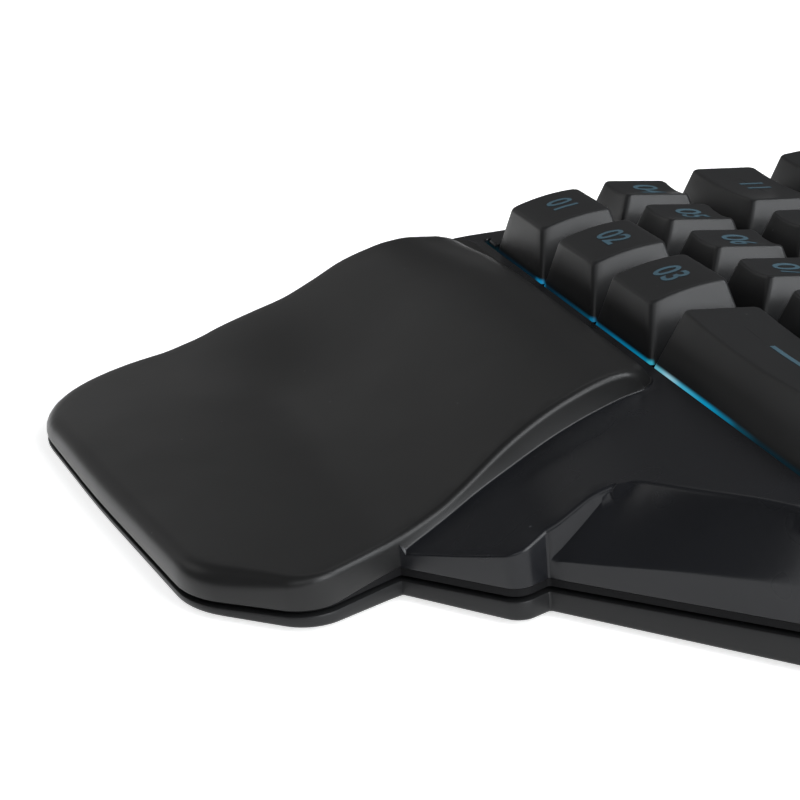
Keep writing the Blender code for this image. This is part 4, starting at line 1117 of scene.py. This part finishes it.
def number_faces(text, size):
    """A number's flat mesh, in millimetres about its own middle."""
    curve = bpy.data.curves.new("number", "FONT")
    curve.body = text
    curve.size = size
    curve.offset = LEGEND_BOLD
    curve.align_x = "CENTER"
    curve.align_y = "CENTER"
    obj = bpy.data.objects.new("number", curve)
    mesh = bpy.data.meshes.new_from_object(obj)
    bm = bmesh.new()
    bm.from_mesh(mesh)
    bpy.data.objects.remove(obj)
    bpy.data.curves.remove(curve)
    bpy.data.meshes.remove(mesh)
    return bm


def bar_faces(length, width):
    bm = bmesh.new()
    bmesh.ops.create_grid(bm, x_segments=24, y_segments=1, size=0.5)
    for vert in bm.verts:
        vert.co.x *= length
        vert.co.y *= width
    return bm


def add_legend(bm, cap, text):
    """Lay a legend a hair over the cap's top, on faces of the second material."""
    legend = bar_faces(*BAR_SIZE) if cap.is_thumb else number_faces(text, LEGEND_SIZE)
    bmesh.ops.triangulate(legend, faces=legend.faces)
    long_edges = [edge for edge in legend.edges if edge.calc_length() > 1.2]
    bmesh.ops.subdivide_edges(legend, edges=long_edges, cuts=1)
    middle = (cap.front + cap.back) / 2 + LEGEND_RISE
    for vert in legend.verts:
        vert.co.y += middle
        vert.co.z = cap.top(vert.co.x, vert.co.y) + LEGEND_PROUD
    copies = {vert: bm.verts.new(vert.co) for vert in legend.verts}
    for face in legend.faces:
        made = bm.faces.new([copies[vert] for vert in face.verts])
        made.material_index = 1
    legend.free()


def make_keys(plastic, legend):
    for number, cap in enumerate(key_rows(), 1):
        bm = cap.mesh()
        welded(bm)
        add_legend(bm, cap, f"{number:02}")
        bmesh.ops.translate(bm, verts=bm.verts, vec=(*cap.centre, 0))
        mesh = laid(mesh_from(bm, f"{cap.name}_cap"), CAP_SHARP)
        show(f"{cap.name}_cap", mesh, (plastic, legend), cap.name, "keycap_plastic", cap.name)


# Camera, light and floor

def set_camera():
    scene = bpy.context.scene
    camera = bpy.data.cameras.new("camera")
    camera.lens = CAMERA_LENS
    camera.shift_x, camera.shift_y = CAMERA_SHIFT
    camera.clip_start = 0.01
    obj = new_object("camera", camera)
    obj.location = CAMERA_PLACE
    obj.rotation_euler = [math.radians(angle) for angle in CAMERA_TURN]
    scene.camera = obj
    scene.view_settings.view_transform = "Standard"


def softbox(name, azimuth, elevation, distance, size, watts, colour):
    """A soft rectangular lamp that faces the object."""
    light = bpy.data.lights.new(name, "AREA")
    light.shape = "RECTANGLE"
    light.size, light.size_y = size
    light.energy = watts
    light.color = colour
    turn, rise = math.radians(azimuth), math.radians(elevation)
    way = Vector((math.cos(turn) * math.cos(rise), math.sin(turn) * math.cos(rise), math.sin(rise)))
    obj = new_object(name, light)
    obj.location = way * distance
    obj.rotation_euler = (way * distance).to_track_quat("Z", "Y").to_euler()


def set_world():
    world = bpy.data.worlds.new("studio")
    bpy.context.scene.world = world
    world.use_nodes = True
    background = world.node_tree.nodes["Background"]
    background.inputs["Color"].default_value = (1, 1, 1, 1)
    background.inputs["Strength"].default_value = WORLD_STRENGTH


def make_floor():
    """White paper, which the camera sees lit from within and the object doesn't."""
    mesh = bpy.data.meshes.new("floor")
    mesh.from_pydata([(i * FLOOR_REACH, j * FLOOR_REACH, 0) for i, j in SQUARE], [], [(0, 1, 2, 3)])
    obj = new_object("floor", mesh)
    material, shader = new_finish("floor_paper", roughness=0.9, specular=0)
    tree = material.node_tree
    rays = tree.nodes.new("ShaderNodeLightPath").outputs
    seen = maths(tree, "ADD", rays["Is Camera Ray"], rays["Is Glossy Ray"])
    seen = maths(tree, "ADD", seen, rays["Is Transmission Ray"])
    dress(tree, shader, Base_Color=FLOOR_COLOUR, Emission_Color=(1, 1, 1, 1),
          Emission_Strength=maths(tree, "MULTIPLY", seen, FLOOR_GLOW))
    mesh.materials.append(material)


# Effects that several finishes share, each a group of shader nodes

def effect(name, given, made):
    """An empty group with named inputs and outputs; a colour input or output has four numbers."""
    group = bpy.data.node_groups.new(name, "ShaderNodeTree")
    kinds = {1: "NodeSocketFloat", 3: "NodeSocketVector", 4: "NodeSocketColor"}
    for way, sockets in (("INPUT", given), ("OUTPUT", made)):
        for label, value in sockets.items():
            size = len(value) if isinstance(value, tuple) else 1
            socket = group.interface.new_socket(label, in_out=way, socket_type=kinds[size])
            socket.default_value = value
    return group, group.nodes.new("NodeGroupInput").outputs


def mixed(tree, kind, share, first, second):
    """A colour mixed from two; each may be a colour or the output that feeds it."""
    node = add_node(tree, "ShaderNodeMix", {"data_type": "RGBA", "blend_type": kind})
    for index, value in ((0, share), (6, first), (7, second)):
        feed(tree, node.inputs[index], value)
    return node.outputs[2]


def ranged(tree, value, low, high, to_low=0.0, to_high=1.0):
    """A value carried smoothly from one range to another."""
    node = add_node(tree, "ShaderNodeMapRange", {"interpolation_type": "SMOOTHSTEP"}, Value=value,
                    From_Min=low, From_Max=high, To_Min=to_low, To_Max=to_high)
    return node.outputs["Result"]


def scaled(tree, colour, level):
    """A colour times a level."""
    grey = add_node(tree, "ShaderNodeCombineColor", Red=level, Green=level, Blue=level)
    return mixed(tree, "MULTIPLY", 1.0, colour, grey)


def grain_effect():
    """Fine moulded grain: its height, and a roughness that wanders a little."""
    group, given = effect("moulded_grain", {"Place": (0.0, 0.0, 0.0), "Grain": 3000.0, "Rough": 0.4, "Wander": 0.05},
                          {"Height": 0.0, "Roughness": 0.4})
    fine = add_node(group, "ShaderNodeTexNoise", Vector=given["Place"], Scale=given["Grain"], Detail=3.0)
    cells = add_node(group, "ShaderNodeTexVoronoi", Vector=given["Place"],
                     Scale=maths(group, "MULTIPLY", given["Grain"], 0.6))
    height = maths(group, "MULTIPLY_ADD", cells.outputs["Distance"], 0.5, fine.outputs[0])
    broad = add_node(group, "ShaderNodeTexNoise", Vector=given["Place"], Scale=55.0, Detail=2.0)
    swing = maths(group, "SUBTRACT", broad.outputs[0], 0.5)
    rough = maths(group, "MULTIPLY_ADD", swing, maths(group, "MULTIPLY", given["Wander"], 4.0), given["Rough"])
    add_node(group, "NodeGroupOutput", Height=height, Roughness=rough)
    return group


def drift_effect():
    """A colour that drifts a little lighter and darker over a surface."""
    group, given = effect("tone_drift", {"Place": (0.0, 0.0, 0.0), "Colour": (0.02, 0.02, 0.02, 1.0), "Drift": 0.1,
                                         "Patches": 40.0}, {"Colour": (0.02, 0.02, 0.02, 1.0)})
    broad = add_node(group, "ShaderNodeTexNoise", Vector=given["Place"], Scale=given["Patches"], Detail=3.0)
    swing = maths(group, "MULTIPLY", maths(group, "SUBTRACT", broad, 0.5), 4.0)
    level = maths(group, "MULTIPLY_ADD", swing, given["Drift"], 1.0)
    add_node(group, "NodeGroupOutput", Colour=scaled(group, given["Colour"], level))
    return group


def dust_effect():
    """Sparse pale specks of dust over a colour."""
    group, given = effect("dust_specks", {"Place": (0.0, 0.0, 0.0), "Colour": (0.02, 0.02, 0.02, 1.0),
                                          "Dust": (0.1, 0.1, 0.1, 1.0), "Spacing": 500.0, "Share": 0.03},
                          {"Colour": (0.02, 0.02, 0.02, 1.0), "Specks": 0.0})
    cells = add_node(group, "ShaderNodeTexVoronoi", Vector=given["Place"], Scale=given["Spacing"])
    near = ranged(group, cells.outputs["Distance"], 0.06, 0.14, 1.0, 0.0)
    chance = add_node(group, "ShaderNodeSeparateColor", Color=cells.outputs["Color"]).outputs[0]
    chosen = maths(group, "LESS_THAN", chance, given["Share"])
    specks = maths(group, "MULTIPLY", near, chosen)
    add_node(group, "NodeGroupOutput", Colour=mixed(group, "MIX", specks, given["Colour"], given["Dust"]),
             Specks=specks)
    return group


def glow_effect():
    """Light that leaks from the recess on to the feet of the outer keys, by place on the deck in millimetres."""
    group, given = effect("recess_glow", {"Place": (0.0, 0.0, 0.0), "Low": -0.85, "High": -0.2, "Strength": 1.0},
                          {"Glow": (0.0, 0.0, 0.0, 1.0)})
    deck = add_node(group, "ShaderNodeMapping", {"vector_type": "TEXTURE"}, Vector=given["Place"],
                    Location=DECK_PLACE, Rotation=(TYPING_ANGLE, 0, 0), Scale=(MM, MM, MM))
    x, y, z = add_node(group, "ShaderNodeSeparateXYZ", Vector=deck).outputs
    (left, front), (right, back) = KEY_FIELD
    aside = maths(group, "ABSOLUTE", maths(group, "SUBTRACT", x, (left + right) / 2))
    away = maths(group, "ABSOLUTE", maths(group, "SUBTRACT", y, (front + back) / 2))
    edge = maths(group, "MINIMUM", maths(group, "SUBTRACT", (right - left) / 2, aside),
                 maths(group, "SUBTRACT", (back - front) / 2, away))
    rim = ranged(group, edge, 0.9, 1.6, 1.0, 0.0)
    fall = ranged(group, z, given["Low"], given["High"], 1.0, 0.0)
    along = add_node(group, "ShaderNodeValToRGB", Fac=maths(group, "DIVIDE", x, right))
    ramp = along.color_ramp
    ramp.interpolation = "EASE"
    while len(ramp.elements) < len(FRONT_GLOW):
        ramp.elements.new(0.5)
    for element, (place, colour) in zip(ramp.elements, FRONT_GLOW):
        element.position = place / right
        element.color = (*colour, 1)
    patches = add_node(group, "ShaderNodeTexNoise", Vector=given["Place"], Scale=60.0, Detail=1.0)
    dim = mixed(group, "MIX", patches, (0.0, 0.006, 0.012, 1), SIDE_GLOW)
    colour = mixed(group, "MIX", ranged(group, y, 1.6, 2.4, 1.0, 0.0), dim, along)
    level = maths(group, "MULTIPLY", maths(group, "MULTIPLY", rim, fall), given["Strength"])
    add_node(group, "NodeGroupOutput", Glow=scaled(group, colour, level))
    return group


# Finishes

def new_finish(name, roughness=0.5, specular=0.25, metallic=0.0, **plain):
    material = bpy.data.materials.new(name)
    material.use_nodes = True
    shader = material.node_tree.nodes["Principled BSDF"]
    shader.inputs["Roughness"].default_value = roughness
    shader.inputs["Specular IOR Level"].default_value = specular
    shader.inputs["Metallic"].default_value = metallic
    for label, value in plain.items():
        shader.inputs[label.replace("_", " ")].default_value = value
    return material, shader


def start_finish(name, **plain):
    """A new finish: its material, its shader, its tree, and the place on the object's own axes."""
    material, shader = new_finish(name, **plain)
    tree = material.node_tree
    return material, shader, tree, tree.nodes.new("ShaderNodeTexCoord").outputs["Object"]


def dress(tree, shader, bump=None, depth=0.0, **sockets):
    """Feed the shader's inputs, and its normal from a height and a depth."""
    for label, value in sockets.items():
        feed(tree, shader.inputs[label.replace("_", " ")], value)
    if bump is not None:
        feed(tree, shader.inputs["Normal"], add_node(tree, "ShaderNodeBump", Height=bump, Distance=depth))


def placed(tree, group, **values):
    """A shared effect in a finish, with its own values."""
    return add_node(tree, "ShaderNodeGroup", {"node_tree": group}, **values).outputs


def moulded(name, effects, colour, rough, grain, depth, dust=0.02, drift=0.1, glow=None, **plain):
    """A moulded finish: drifting colour with dust specks, and grain in its roughness and its bump."""
    material, shader, tree, place = start_finish(name, **plain)
    toned = placed(tree, effects["drift"], Place=place, Colour=(*colour, 1), Drift=drift, Patches=35.0)
    pale = tuple(min(1, part * 2.5 + 0.02) for part in colour)
    dusted = placed(tree, effects["dust"], Place=place, Colour=toned["Colour"], Dust=(*pale, 1), Share=dust)
    grained = placed(tree, effects["grain"], Place=place, Grain=grain, Rough=rough, Wander=0.03)
    dress(tree, shader, grained["Height"], depth, Base_Color=dusted["Colour"], Roughness=grained["Roughness"])
    if glow:
        lit = placed(tree, effects["glow"], Place=place, **glow)
        dress(tree, shader, Emission_Color=lit["Glow"], Emission_Strength=1.0)
    return material


def brushed_steel(name, effects, colour, rough, stretch):
    """Metal with fine lines drawn along one way, and a little drift in its tone."""
    material, shader, tree, place = start_finish(name, metallic=1.0)
    drawn = add_node(tree, "ShaderNodeMapping", Vector=place, Scale=stretch)
    lines = add_node(tree, "ShaderNodeTexNoise", Vector=drawn, Scale=900.0, Detail=2.0)
    toned = placed(tree, effects["drift"], Place=place, Colour=(*colour, 1), Drift=0.08, Patches=60.0)
    rough_lines = ranged(tree, lines, 0.3, 0.7, rough - 0.08, rough + 0.1)
    dress(tree, shader, lines, 0.000006, Base_Color=toned["Colour"], Roughness=rough_lines)
    return material


def printed(name, effects, ground, line, pitch, width, rough):
    """A flat sheet or board with printed lines on it, both ways across."""
    material, shader, tree, place = start_finish(name)
    x, y, _ = add_node(tree, "ShaderNodeSeparateXYZ", Vector=place).outputs
    masks = []
    for along in (x, y):
        steps = maths(tree, "FRACT", maths(tree, "DIVIDE", along, pitch))
        masks.append(maths(tree, "LESS_THAN", maths(tree, "ABSOLUTE", maths(tree, "SUBTRACT", steps, 0.5)), width))
    toned = placed(tree, effects["drift"], Place=place, Colour=(*ground, 1), Drift=0.1, Patches=45.0)
    grained = placed(tree, effects["grain"], Place=place, Grain=2500.0, Rough=rough, Wander=0.04)
    traces = maths(tree, "MAXIMUM", *masks)
    height = maths(tree, "MULTIPLY_ADD", grained["Height"], 0.2, traces)
    dress(tree, shader, height, 0.00002, Base_Color=mixed(tree, "MIX", traces, toned["Colour"], (*line, 1)),
          Roughness=grained["Roughness"])
    return material


def legend_finish(effects):
    """Translucent legend paint, lit dimly from behind and a little unevenly."""
    material, shader, tree, place = start_finish("legend_paint", roughness=0.5)
    grained = placed(tree, effects["grain"], Place=place, Grain=3500.0, Rough=0.45, Wander=0.03)
    base = placed(tree, effects["drift"], Place=place, Colour=(0.045, 0.07, 0.085, 1), Drift=0.12, Patches=300.0)
    lit = placed(tree, effects["drift"], Place=place, Colour=(0.006, 0.026, 0.04, 1), Drift=0.25, Patches=120.0)
    dress(tree, shader, Base_Color=base["Colour"], Roughness=grained["Roughness"], Emission_Color=lit["Colour"],
          Emission_Strength=1.0)
    return material


def guide_finish(effects):
    """Clear acrylic with a frosted face, glowing blue where the lamps feed it."""
    material, shader, tree, place = start_finish("light_guide_acrylic", roughness=0.25, Transmission_Weight=0.5)
    toned = placed(tree, effects["drift"], Place=place, Colour=(0.5, 0.62, 0.68, 1), Drift=0.05, Patches=40.0)
    lit = placed(tree, effects["drift"], Place=place, Colour=(0.0, 0.03, 0.06, 1), Drift=0.5, Patches=50.0)
    grained = placed(tree, effects["grain"], Place=place, Grain=4000.0, Rough=0.25, Wander=0.05)
    dress(tree, shader, grained["Height"], 0.00001, Base_Color=toned["Colour"], Roughness=grained["Roughness"],
          Emission_Color=lit["Colour"], Emission_Strength=1.0)
    return material


def finish_nodes(effects):
    """The finishes of the parts inside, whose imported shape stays."""
    finishes = {
        "key_plate": moulded("key_plate_plastic", effects, (0.02, 0.021, 0.024), 0.45, 2600.0, 0.00001),
        "dome_sheet": moulded("dome_silicone", effects, (0.42, 0.45, 0.48), 0.5, 1800.0, 0.00001,
                              Subsurface_Weight=0.2, Subsurface_Scale=0.002),
        "membrane_sheet": printed("membrane_film", effects, (0.5, 0.52, 0.5), (0.25, 0.26, 0.27), 0.0047625,
                                  0.05, 0.3),
        "light_guide": guide_finish(effects),
        "backing_plate": brushed_steel("backing_steel", effects, (0.55, 0.56, 0.57), 0.35, (1.0, 0.03, 1.0)),
        "controller_board": printed("board_laminate", effects, (0.01, 0.06, 0.03), (0.02, 0.11, 0.05), 0.0025,
                                    0.12, 0.4),
    }
    for name, finish in finishes.items():
        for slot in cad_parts[name].material_slots:
            slot.material = finish


def make_keypad():
    effects = {"grain": grain_effect(), "drift": drift_effect(), "dust": dust_effect(), "glow": glow_effect()}
    skirt_light = {"Low": -4.6, "High": 0.4, "Strength": 0.8}
    cap_light = {"Low": -0.85, "High": -0.2, "Strength": 1.0}
    cover = moulded("cover_plastic", effects, (0.0085, 0.009, 0.0108), 0.28, 3600.0, 0.000003, specular=0.3)
    palm = moulded("palm_plastic", effects, (0.0098, 0.0098, 0.0099), 0.37, 3200.0, 0.000004, dust=0.03,
                   specular=0.28)
    skirt = moulded("lit_skirt_plastic", effects, (0.012, 0.0135, 0.016), 0.4, 3600.0, 0.000006, glow=skirt_light)
    # The seam's lip: darker, rougher and less shiny than the cover, as painted shade in the groove of the seam
    lip = moulded("seam_lip_painted_shade", effects, (0.006, 0.006, 0.0065), 0.6, 3600.0, 0.000006, dust=0.0,
                  specular=0.1)
    tray = moulded("tray_plastic", effects, (0.01, 0.0102, 0.0107), 0.4, 3300.0, 0.000006, specular=0.28)
    caps = moulded("keycap_plastic", effects, (0.012, 0.0122, 0.0128), 0.41, 3800.0, 0.000004, specular=0.32,
                   glow=cap_light)
    pad = moulded("foot_rubber", effects, (0.03, 0.03, 0.032), 0.75, 1600.0, 0.00003, dust=0.08)
    boot = moulded("gland_rubber", effects, (0.018, 0.018, 0.019), 0.6, 2000.0, 0.00002)
    steel = brushed_steel("screw_steel", effects, (0.42, 0.42, 0.43), 0.34, (1.0, 1.0, 0.2))
    show("top_cover_shell", top_cover_mesh(), (cover, palm, skirt, lip), "case", "top_cover_plastic", "top_cover")
    show("bottom_cover_shell", bottom_cover_mesh(), (tray,), "case", "bottom_cover_plastic", "bottom_cover")
    make_keys(caps, legend_finish(effects))
    make_feet(pad)
    make_screws(steel)
    make_gland(boot)
    finish_nodes(effects)


set_camera()
for lamp in LAMPS:
    softbox(*lamp)
set_world()
make_floor()
make_keypad()
